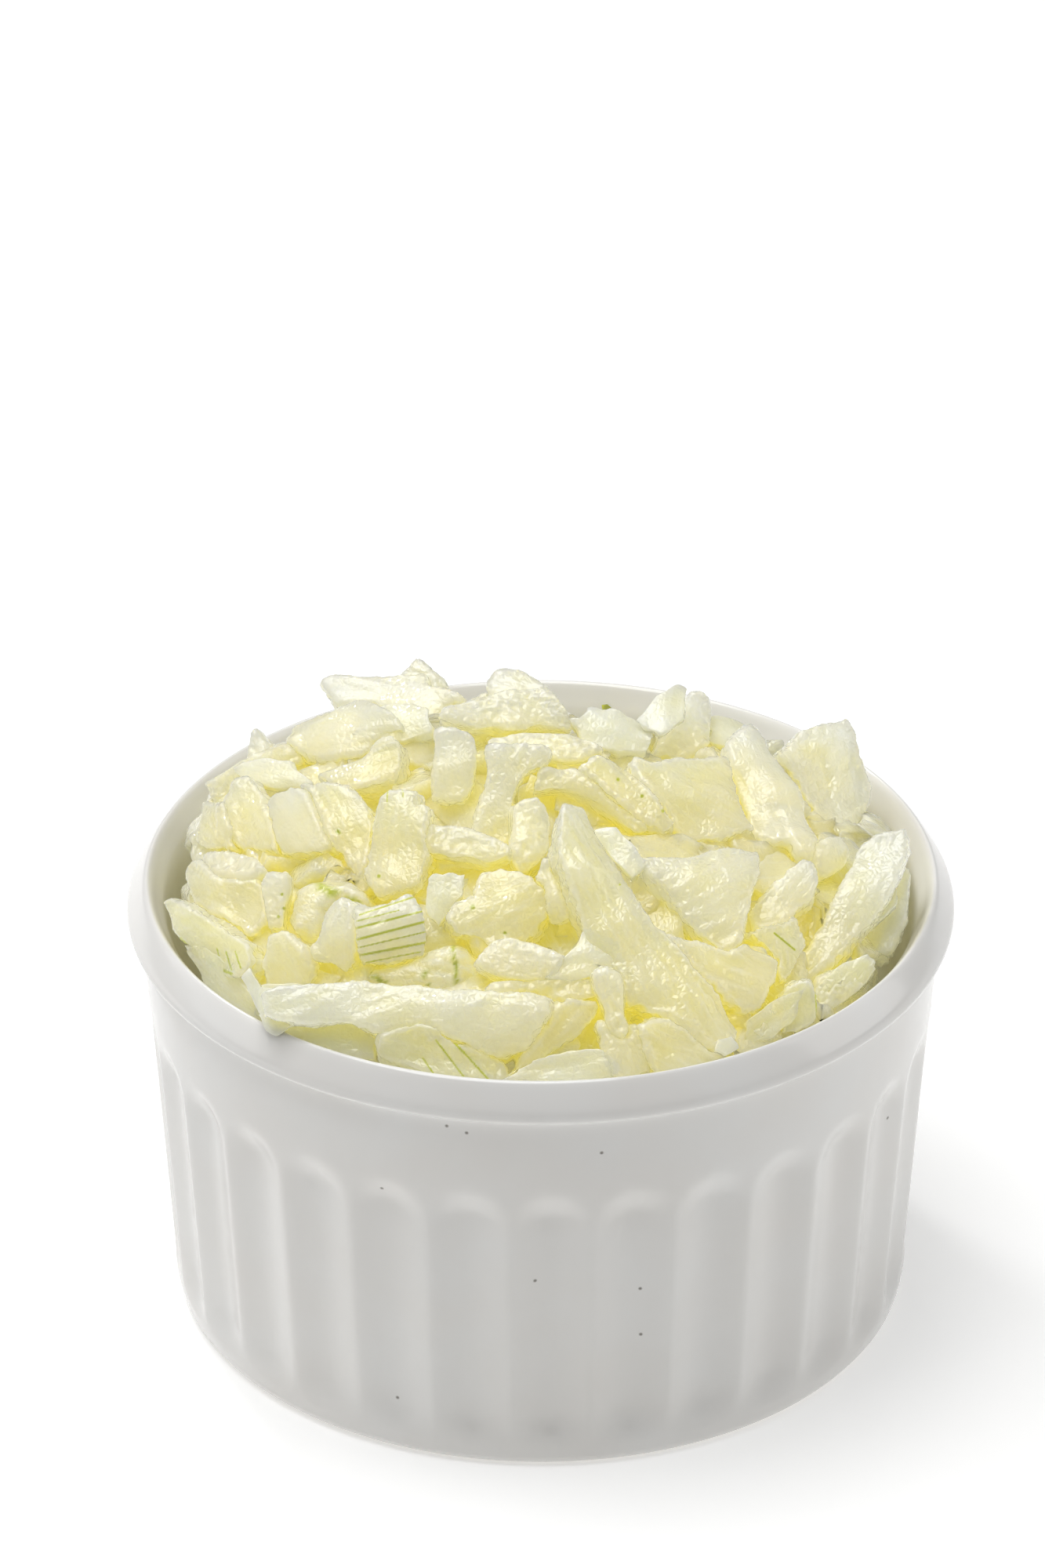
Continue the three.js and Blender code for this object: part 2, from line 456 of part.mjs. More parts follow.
    corners: [[-2.6, 7.4], [-0.6, 8.4], [0.4, 7.8], [1, 5.6], [0.8, 3], [0, 1.8], [-1.4, 0.4], [-2.4, 0.8],
      [-3, 2.8]] },
  { name: 'middle_slab', near: 1.8, lean: [-0.1, 0.4], thick: 3, bow: 18, grain: -10,
    corners: [[-12, 5.2], [-8, 4.6], [-4, 3.2], [-3.2, 2.2], [-6.4, 1], [-9.8, 1.4], [-12.2, 3]] },
  { name: 'left_centre_slab', near: 2.4, lean: [-0.1, 0.6], thick: 3.6, bow: 20, grain: -70, green: true,
    centre: [-15.6, 3],
    corners: [[-17.6, 8.6], [-16.6, 9.3], [-13.5, 9.5], [-13.7, 7.8], [-12.3, 7.4], [-12.6, 5], [-12, 1.6],
      [-13.4, -1.6], [-17.8, -2.2], [-19.6, 0.4], [-19, 4.4]] },
  { name: 'dotted_flake', near: 2, lean: [-0.2, 0.5], thick: 2.8, bow: 14, grain: -52, green: true,
    corners: [[-26.2, 9.2], [-24, 9.6], [-21, 9.2], [-19, 7.6], [-18.6, 4], [-18.4, 0.8], [-20, -0.1],
      [-21.6, 1.6], [-23.6, 5]] },
  { name: 'left_flake_high', near: 2, lean: [-0.3, 0.4], thick: 2.8, bow: 14, grain: -50,
    corners: [[-34.2, 8], [-33.2, 10.1], [-31.8, 10.8], [-30.4, 8.8], [-29.4, 5], [-28.9, 2.6],
      [-33, 2.8], [-34.6, 4.6]] },
  { name: 'left_flake_low', near: 1.4, lean: [-0.5, 0.4], thick: 2.8, bow: 14, grain: 60,
    corners: [[-37.2, 7.4], [-35.8, 7.2], [-34.2, 7.6], [-33.6, 5], [-34, 2.9], [-37, 2.9], [-38, 3.6],
      [-37.5, 5.4]] },
  { name: 'left_white_chip', near: 1.8, lean: [-0.2, 0.2], thick: 3, bow: 18, grain: 0,
    corners: [[-36.8, 1.6], [-36.2, 2.4], [-34, 2.6], [-31.4, 1.8], [-30, 0.3], [-32.4, -0.6],
      [-35.6, -0.3]] },
  { name: 'left_round_slab', near: 0.6, lean: [-0.3, 0.4], thick: 4, bow: 18, grain: -60,
    corners: [[-38.8, 1.2], [-37.4, 1.6], [-35.8, -0.4], [-32.2, -0.6], [-30.4, -1.2], [-30.2, -5.2],
      [-31.8, -6.8], [-34.6, -6], [-37.2, -4.4], [-38.8, -2.4], [-39.1, -0.4]] },
  { name: 'dotted_white_bit', near: 2, lean: [-0.1, 0.6], thick: 2.6, bow: 12, grain: 80, green: true,
    corners: [[-30.1, -1.2], [-29.3, 0], [-27.4, 0.2], [-27.3, -1], [-28, -3.6], [-28.3, -6],
      [-29.8, -6]] },
  { name: 'spike', near: 2.4, lean: [-0.1, 1], thick: 2.2, bow: 10, grain: -75,
    corners: [[-31.4, 16.1], [-30.6, 15.2], [-29.8, 14.2], [-29.3, 12], [-29.4, 9.6], [-30.4, 10.6],
      [-31.6, 12.2], [-32.3, 13.2], [-31.8, 14.8]] },
  { name: 'pale_chunk_left', near: 2.4, lean: [-0.1, 0.6], thick: 4, bow: 18, grain: 35,
    corners: [[-24.8, 11], [-22, 12.5], [-19.6, 12.8], [-18.2, 14.8], [-16.4, 15.2], [-15.2, 14],
      [-14.8, 12], [-15.6, 10], [-17.8, 9.3], [-19.8, 9.1], [-22.4, 9.5]] },
  { name: 'top_left_stack', near: 6, lean: [0, 0.9], thick: 4, bow: 24, grain: 5, centre: [-16.2, 20.2],
    corners: [[-23.8, 20.8], [-22.6, 21.5], [-20, 21.5], [-16, 21.8], [-12.3, 22], [-12, 20.6],
      [-10.2, 20], [-8.4, 19.3], [-10.4, 18], [-12, 16], [-13.8, 15.6], [-15.4, 18], [-18.6, 19],
      [-21, 18.6], [-22.8, 18.8]] },
  { name: 'translucent_peak', near: 3.4, lean: [0.2, 1], thick: 1.6, bow: 16, grain: 60,
    corners: [[-15.2, 22], [-14.2, 23.4], [-13.4, 23.8], [-12.4, 23.2], [-10.2, 21.6], [-9.6, 20.4],
      [-11, 18.6], [-14, 19.4]] },
  { name: 'crest_flake', near: 2, lean: [0, 0.9], thick: 2.4, bow: 14, grain: 0,
    corners: [[-6, 20.8], [-4.8, 22.3], [-2.6, 22.4], [-0.8, 21.6], [1, 20.2], [0, 18.4], [-3, 18],
      [-5.6, 18.8]] },
  { name: 'yellow_slab_left', bed: true, near: 0.6, lean: [0, 0.6], thick: 3, bow: 14, grain: 60, green: true,
    corners: [[-26.8, -0.8], [-24.4, -0.4], [-22.6, -2.2], [-23.4, -4], [-24.2, -7.2], [-25.8, -7.8],
      [-27.4, -5.6], [-27.7, -2.6]] },
  { name: 'green_fold', bed: true, near: 0.4, lean: [0, 0.4], thick: 2.4, bow: 9, grain: -25, green: true,
    corners: [[-24.6, -0.2], [-23.2, 0.3], [-20.2, -0.8], [-18.2, -2.6], [-19.6, -3.6], [-22.2, -2.6]] },
  { name: 'left_smooth_slab', near: 1.2, lean: [-0.1, 0.8], thick: 3, bow: 20, grain: 85,
    corners: [[-30, -6.6], [-27.6, -6.4], [-25.8, -8.6], [-24.7, -9.8], [-24.6, -11.8], [-27.5, -12.4],
      [-30.2, -12.4], [-30.4, -9]] },
  { name: 'striped_under', bed: true, near: 0.4, lean: [0.1, 0.6], thick: 3, bow: 16, grain: -85, green: true,
    corners: [[-20.4, -9.8], [-16, -9.2], [-13, -8.4], [-10, -7.6], [-8.3, -7.8], [-8, -9.6], [-6.4, -10.6],
      [-7, -12.2], [-13, -12.8], [-19.8, -12.4]] },
  { name: 'low_slab_left', bed: true, near: 0.2, lean: [-0.1, 0.5], thick: 3, bow: 16, grain: -70,
    green: true,
    corners: [[-28.4, -17.3], [-26.4, -16.2], [-20.8, -16], [-18.2, -17.6], [-18.2, -20.4], [-20.4, -20.5],
      [-24.6, -19.1]] },
];

const cavity = cavitySolid(GAP);
const finished = [];
let taken = null;

// Later pieces give way to the ones in front of them
function settle(name, chip, finish, smallest = 3) {
  let solid = chipSolid(chip, 0).intersect(cavity);
  if (taken) {
    solid = solid.subtract(taken);
  }
  const body = largestBody(solid.simplify(0.05));
  if (body && body.volume() > smallest) {
    finished.push({ name, body, finish });
    const swollen = chipSolid(chip, GAP);
    taken = taken ? taken.add(swollen) : swollen;
  }
}

// Pieces marked bed lie deep, and are fused into the bed
for (const piece of PIECES.filter(({ bed }) => !bed)) {
  settle(piece.name, seenChip(piece), piece.green ? GREEN_FLESH : FLESH);
}

// Back slope of the heap, hidden from the front, with chips laid by rule like the others
const drawBack = seededDraws(4152);
for (let i = 0; i < BACK_CHIPS; i += 1) {
  const angle = THREE.MathUtils.degToRad(-76 + (i * 152) / (BACK_CHIPS - 1) + drawBack(-5, 5));
  const radius = i % 2 === 0 ? 32 : 24;
  const x = radius * Math.sin(angle);
  const y = radius * Math.cos(angle) + 2;
  const position = new THREE.Vector3(x, y, HEIGHT + packedHeight(x, y) - 0.5);
  const tilt = new THREE.Vector3(drawBack(-0.3, 0.3), drawBack(0, 0.4), 0);
  const normal = heapNormal(x, y, packedHeight).add(tilt).normalize();
  const chip = drawnChip(drawBack, position, normal, drawBack(13, 17), drawBack(9, 12), drawBack(2.8, 4));
  settle(`back_chip_${i + 1}`, chip, FLESH);
}

// Bed: the packed onion under the top pieces, with small chips that stand out of it
function bedSolid() {
  const sides = 28;
  const wall = mouthRadius - 3.4;
  const onDome = (share) => (i) => {
    const angle = (i / sides) * 2 * Math.PI;
    const x = share * wall * Math.sin(angle);
    const y = -share * wall * Math.cos(angle);
    return new THREE.Vector3(x, y, HEIGHT + packedHeight(x, y) - BED_DEPTH - 2 * share);
  };
  const atWall = (radius, z) => (i) => {
    const angle = (i / sides) * 2 * Math.PI;
    return new THREE.Vector3(radius * Math.sin(angle), -radius * Math.cos(angle), z);
  };
  const floor = FLOOR_THICKNESS + 0.6;
  const rings = [atWall(wall - 5, floor), atWall(wall - 1.6, floor + 4), onDome(1), onDome(0.75),
    onDome(0.45)];
  let bed = ringSolid(rings, sides, floor, HEIGHT + heapHeight(0, 0) - BED_DEPTH);
  const draw = seededDraws(77);
  const turnStep = Math.PI * (3 - Math.sqrt(5));
  for (let i = 0; i < BED_CHIPS; i += 1) {
    const radius = (wall - 1) * Math.sqrt((i + 0.5) / BED_CHIPS);
    const x = radius * Math.cos(i * turnStep);
    const y = radius * Math.sin(i * turnStep);
    const position = new THREE.Vector3(x, y, HEIGHT + packedHeight(x, y) - draw(3.2, 5));
    const tilt = new THREE.Vector3(draw(-0.6, 0.6), draw(-0.6, 0.6), 0);
    const normal = heapNormal(x, y, packedHeight).add(tilt).normalize();
    bed = bed.add(chipSolid(drawnChip(draw, position, normal, draw(10, 14), draw(7, 10), 5), 0));
  }
  for (const piece of PIECES.filter((one) => one.bed)) {
    bed = bed.add(chipSolid({ ...seenChip(piece), thick: 7 }, 0));
  }
  return largestBody(bed.intersect(cavity).subtract(taken).simplify(0.2));
}

addMesh('ramekin', ramekinSolid(), GLAZE);
addMesh('onion_bed', bedSolid(), FLESH);
for (const { name, body, finish } of finished) {
  addMesh(name, body, finish);
}

export default group;
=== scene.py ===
import math

import bmesh
import bpy
import numpy as np
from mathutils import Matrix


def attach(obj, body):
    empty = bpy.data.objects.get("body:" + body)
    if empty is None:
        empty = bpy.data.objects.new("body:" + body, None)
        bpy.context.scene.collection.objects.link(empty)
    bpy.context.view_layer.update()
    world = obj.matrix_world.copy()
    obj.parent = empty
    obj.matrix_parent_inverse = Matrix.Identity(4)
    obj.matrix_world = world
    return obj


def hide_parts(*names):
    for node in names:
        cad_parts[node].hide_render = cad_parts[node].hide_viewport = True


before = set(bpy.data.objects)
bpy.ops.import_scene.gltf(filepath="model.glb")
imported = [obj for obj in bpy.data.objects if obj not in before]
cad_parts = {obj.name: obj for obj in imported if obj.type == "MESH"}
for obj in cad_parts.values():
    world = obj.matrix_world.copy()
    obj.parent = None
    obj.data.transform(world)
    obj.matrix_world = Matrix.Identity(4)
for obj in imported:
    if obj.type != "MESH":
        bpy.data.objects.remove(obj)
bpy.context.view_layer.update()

# Ramekin: one piece of white stoneware, cast in a fluted mould, glazed all over but for the
# ring that it stands on. The glaze pools in the flutes, rounds every edge and shines like glass.
MM = 0.001
FLUTES = 30
FLUTE_DEPTH = 1.1
FLUTE_TURN = math.radians(1.5)
FLUTE_FOOT = 2.6
FLUTE_FOOT_FADE = 4.0
FLUTE_TOP = 36.8
FLUTE_TOP_FADE = 4.2
FLUTE_ARCH = 3.2
SIDES = FLUTES * 20
GLAZE_WHITE = "#E9E9E7"
GLAZE_THIN = "#E4E1DC"
BARE_CLAY = "#DDD8CF"
SPECK = "#8A867E"
SPECK_RADIUS = 0.18
SPECK_FADE = 0.08
# Specks of iron in the glaze: degrees round from the front, height in mm
IRON_SPECKS = [(-10.4, 44.0), (-13.2, 44.6), (8.4, 41.6), (-0.9, 24.6), (14.9, 22.5), (15.2, 16.4),
               (-22.8, 6.6), (-23.5, 34.6), (64, 30.5), (118, 41), (171, 18.2), (-139, 33), (-86, 12.4)]


def linear(hex_colour):
    """sRGB hex to linear RGBA."""
    parts = [int(hex_colour[i:i + 2], 16) / 255 for i in (1, 3, 5)]
    return [p / 12.92 if p <= 0.04045 else ((p + 0.055) / 1.055) ** 2.4 for p in parts] + [1.0]


def add_node(tree, kind, settings=None, inputs=None):
    """Adds a node, sets its own settings, and gives each input a value or a link."""
    node = tree.nodes.new(kind)
    for name, value in (settings or {}).items():
        setattr(node, name, value)
    for name, value in (inputs or {}).items():
        if isinstance(value, bpy.types.NodeSocket):
            tree.links.new(value, node.inputs[name])
        else:
            node.inputs[name].default_value = value
    return node


def smooth_path(corners, per_span):
    """Curve through the corners: each span is a cubic whose ends slope as the chord between
    the corners on either side does (Catmull-Rom)."""
    p = np.array(corners, float)
    before = np.vstack([2 * p[:1] - p[1:2], p[:-2]])
    after = np.vstack([p[2:], 2 * p[-1:] - p[-2:-1]])
    a, b = p[:-1], p[1:]
    t = (np.arange(per_span) / per_span)[:, None, None]
    curve = 0.5 * (2 * a + (b - before) * t + (2 * before - 5 * a + 4 * b - after) * t ** 2
                   + (3 * a - before - 3 * b + after) * t ** 3)
    return np.vstack([curve.transpose(1, 0, 2).reshape(-1, 2), p[-1:]])


def wall_radius(z):
    """Outside of the wall between the flutes: a cone that opens upwards, 0.068 mm for each mm."""
    return 40.4 + 0.068 * z


def flute_depth(angle, z):
    """Depth of the flutes: a round scallop across each one, cut off at the top by an arch and
    run out softly above the foot."""
    turn = (angle - FLUTE_TURN) * FLUTES / (2 * np.pi)
    across = 2 * (turn - np.round(turn))
    scallop = (0.5 + 0.5 * np.cos(np.pi * across)) ** 0.65
    arch = FLUTE_TOP - FLUTE_ARCH * (1 - np.sqrt(np.clip(1 - across ** 2, 0, 1)))
    top = np.clip((arch - z) / FLUTE_TOP_FADE, 0, 1)
    foot = np.clip((z - FLUTE_FOOT) / FLUTE_FOOT_FADE, 0, 1)
    ease = top ** 2 * (3 - 2 * top) * foot ** 2 * (3 - 2 * foot)
    return FLUTE_DEPTH * scallop * ease


def closed_rings(name, radius, height, angles):
    """Mesh from rings of points (radius and height by ring and angle), closed by a point on
    the axis at both ends."""
    rings, sides = radius.shape
    points = np.stack([radius * np.sin(angles), -radius * np.cos(angles), height], axis=-1)
    ends = [[0, 0, height[0, 0]], [0, 0, height[-1, 0]]]
    points = np.vstack([points.reshape(-1, 3), ends]) * MM
    low = np.arange((rings - 1) * sides).reshape(rings - 1, sides)
    right = np.roll(low, -1, axis=1)
    quads = np.stack([low, right, right + sides, low + sides], axis=-1).reshape(-1, 4)
    first = np.arange(sides)
    last = first + (rings - 1) * sides
    fans = [np.stack([np.full(sides, rings * sides), np.roll(first, -1), first], axis=-1),
            np.stack([np.full(sides, rings * sides + 1), last, np.roll(last, -1)], axis=-1)]
    mesh = bpy.data.meshes.new(name)
    mesh.from_pydata(points.tolist(), [], quads.tolist() + fans[0].tolist() + fans[1].tolist())
    mesh.shade_smooth()
    return mesh


foot_corners = [(0.5, 1.2), (20, 1.2), (33.2, 1.2), (34.2, 0.9), (34.8, 0.15), (35.4, 0), (37, 0),
                (38.6, 0), (39.6, 0.25), (40.2, 0.9), (40.45, 2)]
wall_corners = [(wall_radius(z), z) for z in np.arange(3, 43.1, 1.25)]
rim_corners = [(43.4, 44.8), (43.5, 45.5), (43.75, 45.85), (44.3, 46.05), (44.8, 46.4), (45, 46.95),
               (44.88, 47.6), (44.45, 48.4), (43.95, 49.2), (43.45, 49.95), (43.0, 50.45), (42.65, 50.42),
               (42.2, 49.9), (41.6, 48.9), (40.8, 47.4)]
inside_corners = [(40.3, 44), (40.1, 41), (39.9, 38), (39.3, 30), (38.6, 20), (38.0, 12), (37.6, 9),
                  (36.4, 6), (33.5, 4.7), (30, 4.5), (15, 4.5), (0.5, 4.5)]
profile = smooth_path(foot_corners + wall_corners + rim_corners + inside_corners, 2)
angles = np.linspace(0, 2 * np.pi, SIDES, endpoint=False)
ring_radius = np.repeat(profile[:, :1], SIDES, axis=1)
ring_height = np.repeat(np.maximum(profile[:, 1:], 0), SIDES, axis=1)
outside = (np.arange(len(profile)) < 2 * (len(foot_corners) + len(wall_corners)))[:, None]
ring_radius = ring_radius - outside * flute_depth(angles[None, :], ring_height)
ramekin = bpy.data.objects.new(
    "ramekin_glazed", closed_rings("ramekin_glazed", ring_radius, ring_height, angles))
bpy.context.collection.objects.link(ramekin)

# White feldspar glaze on stoneware: a clean white, clouded where it is thinner and warmer, with a
# few iron specks, faint ripples 6 mm apart from firing, and a bare, dry clay ring underneath.
glaze = bpy.data.materials.new("white feldspar glaze on stoneware")
glaze.use_nodes = True
tree = glaze.node_tree
shader = tree.nodes["Principled BSDF"]
place = add_node(tree, "ShaderNodeTexCoord").outputs["Object"]
cloud = add_node(tree, "ShaderNodeTexNoise", {}, {"Vector": place, "Scale": 0.09 / MM, "Detail": 2.0})
tone = add_node(tree, "ShaderNodeMix", {"data_type": "RGBA"},
                {0: cloud.outputs["Fac"], 6: linear(GLAZE_WHITE), 7: linear(GLAZE_THIN)})
speck = None
for turn, level in IRON_SPECKS:
    side = math.radians(turn)
    out = (wall_radius(level) - float(flute_depth(side, level))) * MM
    spot = (out * math.sin(side), -out * math.cos(side), level * MM)
    away = add_node(tree, "ShaderNodeVectorMath", {"operation": "DISTANCE"}, {0: place, 1: spot})
    dark = add_node(tree, "ShaderNodeMapRange", {},
                    {"Value": away.outputs["Value"], "From Min": (SPECK_RADIUS - SPECK_FADE) * MM,
                     "From Max": (SPECK_RADIUS + SPECK_FADE) * MM, "To Min": 1.0, "To Max": 0.0})
    speck = add_node(tree, "ShaderNodeMath", {"operation": "MAXIMUM"},
                     {0: dark.outputs[0], 1: speck.outputs[0] if speck else 0.0})
specked = add_node(tree, "ShaderNodeMix", {"data_type": "RGBA"},
                   {0: speck.outputs[0], 6: tone.outputs[2], 7: linear(SPECK)})
height = add_node(tree, "ShaderNodeSeparateXYZ", {}, {"Vector": place})
bare = add_node(tree, "ShaderNodeMapRange", {},
                {"Value": height.outputs["Z"], "From Min": 0.2 * MM, "From Max": 0.5 * MM,
                 "To Min": 1.0, "To Max": 0.0})
colour = add_node(tree, "ShaderNodeMix", {"data_type": "RGBA"},
                  {0: bare.outputs["Result"], 6: specked.outputs[2], 7: linear(BARE_CLAY)})
dry = add_node(tree, "ShaderNodeMapRange", {},
               {"Value": bare.outputs["Result"], "To Min": 0.16, "To Max": 0.75})
ripple = add_node(tree, "ShaderNodeTexNoise", {}, {"Vector": place, "Scale": 0.16 / MM, "Detail": 1.0})
bump = add_node(tree, "ShaderNodeBump", {},
                {"Height": ripple.outputs["Fac"], "Strength": 0.25, "Distance": 0.08 * MM})
tree.links.new(colour.outputs[2], shader.inputs["Base Color"])
tree.links.new(dry.outputs["Result"], shader.inputs["Roughness"])
tree.links.new(bump.outputs["Normal"], shader.inputs["Normal"])
shader.inputs["IOR"].default_value = 1.52
ramekin.data.materials.append(glaze)
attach(ramekin, "root")
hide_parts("ramekin")

# Top pieces: strips and chips of raw onion layers, cut by knife. Each one is flesh between two
# thin skins: smooth and veined on the layer's faces, crystalline and ragged where it was cut.
VOXEL = 0.22
FINE_VOXEL = 0.15
# Height of each kind of surface wave in mm, and its length
WARP, WARP_LENGTH = 0.2, 10.0
SWELL, SWELL_LENGTH = 0.14, 7.0
FIBRE, FIBRE_LENGTH = 0.03, 1.3
TEAR, TEAR_LENGTH = 0.07, 1.6
CRINKLE_LENGTH = 2.2
# How far a piece presses into its neighbours, and the furthest that any point may move
PUSH = 0.25
MOST_MOVE = 0.5
# Where the heap is seen from: its distance from the rim's centre, how high and how far to the right
RIM_HEIGHT = 50.5
EYE_DISTANCE = 905.0
EYE_ELEVATION = math.radians(30.5)
EYE_RIGHT = -2.0
AHEAD = np.array([0, math.cos(EYE_ELEVATION), -math.sin(EYE_ELEVATION)])
UP = np.array([0, math.sin(EYE_ELEVATION), math.cos(EYE_ELEVATION)])
RIM_CENTRE = np.array([0, 0, RIM_HEIGHT])
EYE = RIM_CENTRE - EYE_DISTANCE * AHEAD + np.array([EYE_RIGHT, 0, 0])
VEIN_GREEN = "#A6AE14"
# Pale gold: random patches of tone, and the painted gold of light that reaches covered crevices through the
# flesh
GOLD_TONE_AND_PAINTED_LIGHT = "#EFE594"
# Painted glow, emitted by the flesh though it is no lamp: pale in the open, gold in covered crevices
PAINTED_GLOW_OPEN = "#96957A"
PAINTED_GLOW_CREVICE = "#C9BD50"
# Painted edge light: thin edges are painted near white for light that shines through them and for their
# highlight
PAINTED_EDGE_LIGHT = "#FBFBF3"
STREAK_WHITE = "#F9F9F0"
# Skin colour, cut colour, crinkle depth in mm, roughness
LOOKS = {
    "crystal": ("#F3F4EA", "#F6F7F0", 0.05, 0.24),
    "milk": ("#F4F5EC", "#F7F8F1", 0.02, 0.30),
    "cream": ("#F3F0D2", "#F5F4DF", 0.03, 0.26),
    "leaf": ("#F1F1CE", "#F4F4DC", 0.03, 0.26),
}
CRYSTAL = ("triangle_chunk", "crescent_right", "front_strip", "crystal_slab_front", "crumpled_flake",
           "ruffled_flake", "thin_white_slab", "white_wedge_centre", "big_slab_right", "top_chunk")
MILK = ("white_wedge_back", "white_blade_right", "bluish_flake", "left_white_chip", "tall_slab",
        "dotted_white_bit", "long_slab_back", "striped_cap", "crest_flake", "flake_front_left",
        "chip_under_big_slab", "spike", "top_left_stack")
LEAF = ("green_edged_point", "chip_low_right_b", "chip_low_right_c", "striped_flake_front",
        "green_veined_bit")


def waves(points, length, seed, count=10):
    """Smooth random field of about unit size: plane waves in random directions, summed."""
    draw = np.random.default_rng(seed)
    directions = draw.normal(size=(count, 3))
    directions /= np.linalg.norm(directions, axis=1)[:, None]
    steps = directions / (length * draw.uniform(0.6, 1.5, count))[:, None]
    phases = draw.uniform(0, 2 * np.pi, count)
    return np.sin(points @ steps.T * 2 * np.pi + phases).sum(axis=1) * math.sqrt(2 / count)


def warp(points):
    """Slow drift of the whole heap, the same for neighbours, so that no knife edge is quite
    straight: one field of waves for each axis."""
    return points + WARP * np.stack([waves(points, WARP_LENGTH, 31 + k, 6) for k in range(3)], axis=1)


def seen(points):
    """Where points show from the front: millimetres right of the rim's centre and up from it,
    square to the line of sight."""
    rays = points - EYE
    hits = EYE + rays * (((RIM_CENTRE - EYE) @ AHEAD) / (rays @ AHEAD))[:, None]
    return np.stack([hits[:, 0], (hits - RIM_CENTRE) @ UP], axis=1)


def to_segment(spots, start, end):
    """Distance from points of the plane to a straight stretch."""
    start, end = np.array(start), np.array(end)
    run = end - start
    share = np.clip(((spots - start) @ run) / (run @ run), 0, 1)
    return np.linalg.norm(spots - start - share[:, None] * run, axis=1)


def merge_points(mesh, distance):
    """Joins points that coincide, and keeps their attributes."""
    merged = bmesh.new()
    merged.from_mesh(mesh)
    bmesh.ops.remove_doubles(merged, verts=merged.verts, dist=distance)
    merged.to_mesh(mesh)
    merged.free()


def fine_copy(node, voxel):
    """A merged copy of a CAD node's mesh, rebuilt in even quads of one voxel."""
    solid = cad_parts[node].data.copy()
    merge_points(solid, 1e-6)
    rough = bpy.data.objects.new(node + "_rough", solid)
    bpy.context.collection.objects.link(rough)
    remesh = rough.modifiers.new("even", "REMESH")
    remesh.mode = "VOXEL"
    remesh.voxel_size = voxel * MM
    depsgraph = bpy.context.evaluated_depsgraph_get()
    mesh = bpy.data.meshes.new_from_object(rough.evaluated_get(depsgraph))
    bpy.data.objects.remove(rough)
    bpy.data.meshes.remove(solid)
    mesh.materials.clear()
    return mesh


def read(mesh):
    """Points in millimetres, normals and edges of a mesh."""
    points = np.empty(len(mesh.vertices) * 3, np.float32)
    mesh.vertices.foreach_get("co", points)
    normals = np.empty(len(mesh.vertices) * 3, np.float32)
    mesh.vertex_normals.foreach_get("vector", normals)
    edges = np.empty(len(mesh.edges) * 2, np.int32)
    mesh.edges.foreach_get("vertices", edges)
    points = points.reshape(-1, 3).astype(float) / MM
    return points, normals.reshape(-1, 3).astype(float), edges.reshape(-1, 2)


def write(mesh, points):
    """Puts points in millimetres back into their mesh."""
    mesh.vertices.foreach_set("co", (points * MM).astype(np.float32).ravel())
    mesh.update()


def soften(values, edges, normals, rounds, crease=0.0):
    """Moves each point's values (places, or one number) towards the mean of its neighbours.
    With a crease, neighbours that face another way pull less, so flat facets melt together and
    the cut edges stay."""
    start, end = edges[:, 0], edges[:, 1]
    pull = np.exp(-crease * (1 - np.einsum("ij,ij->i", normals[start], normals[end])))
    total = np.bincount(start, pull, len(values)) + np.bincount(end, pull, len(values))
    values = values.reshape(len(values), -1)
    for _ in range(rounds):
        mean = np.stack([np.bincount(start, pull * column[end], len(column))
                         + np.bincount(end, pull * column[start], len(column))
                         for column in values.T], axis=1)
        values = values + 0.6 * (mean / total[:, None] - values)
    return values if values.shape[1] > 1 else values[:, 0]


def layer_axes(points):
    """Centre of a piece and its long, wide and thin directions, from how its points spread."""
    centre = points.mean(axis=0)
    spread = np.linalg.eigh(np.cov((points - centre).T))[1]
    return centre, spread[:, ::-1]


def set_values(mesh, name, values):
    """Stores one number, or one vector, for each point of a mesh."""
    if values.ndim == 1:
        attribute = mesh.attributes.new(name, "FLOAT", "POINT")
        attribute.data.foreach_set("value", values.astype(np.float32))
    else:
        attribute = mesh.attributes.new(name, "FLOAT_VECTOR", "POINT")
        attribute.data.foreach_set("vector", values.astype(np.float32).ravel())


# Grid over the heap that tells where flesh is, in cells of half a millimetre
CELL = 0.5
GRID_START = np.array([-46.0, -46.0, 34.0])
GRID_SHAPE = (184, 184, 80)


def cells_of(points, margin=0):
    """Numbers of the grid cells that hold the points, and of those within the margin."""
    step = np.arange(-margin, margin + 1)
    around = np.stack(np.meshgrid(step, step, step, indexing="ij"), axis=-1).reshape(-1, 3)
    held = np.unique(((points - GRID_START) / CELL).astype(int), axis=0)
    near = (held[:, None] + around).reshape(-1, 3)
    return np.unique(np.ravel_multi_index(near.T, GRID_SHAPE, mode="clip"))


def blurred(field, reach):
    """Box blur along each axis in turn, as the difference of running sums."""
    for axis in range(3):
        pad = [(reach + 1, reach) if k == axis else (0, 0) for k in range(3)]
        total = np.moveaxis(np.cumsum(np.pad(field, pad), axis=axis), axis, 0)
        field = np.moveaxis((total[2 * reach + 1:] - total[:-2 * reach - 1]) / (2 * reach + 1), 0, axis)
    return field


def sample(field, points):
    """Value of a grid field at points, linear between the middles of the cells."""
    spot = np.clip((points - GRID_START) / CELL - 0.5, 0, np.array(GRID_SHAPE) - 1.001)
    low = spot.astype(int)
    share = spot - low
    value = np.zeros(len(points))
    for corner in np.ndindex(2, 2, 2):
        weight = np.prod(np.where(corner, share, 1 - share), axis=1)
        value += weight * field[tuple((low + corner).T)]
    return value


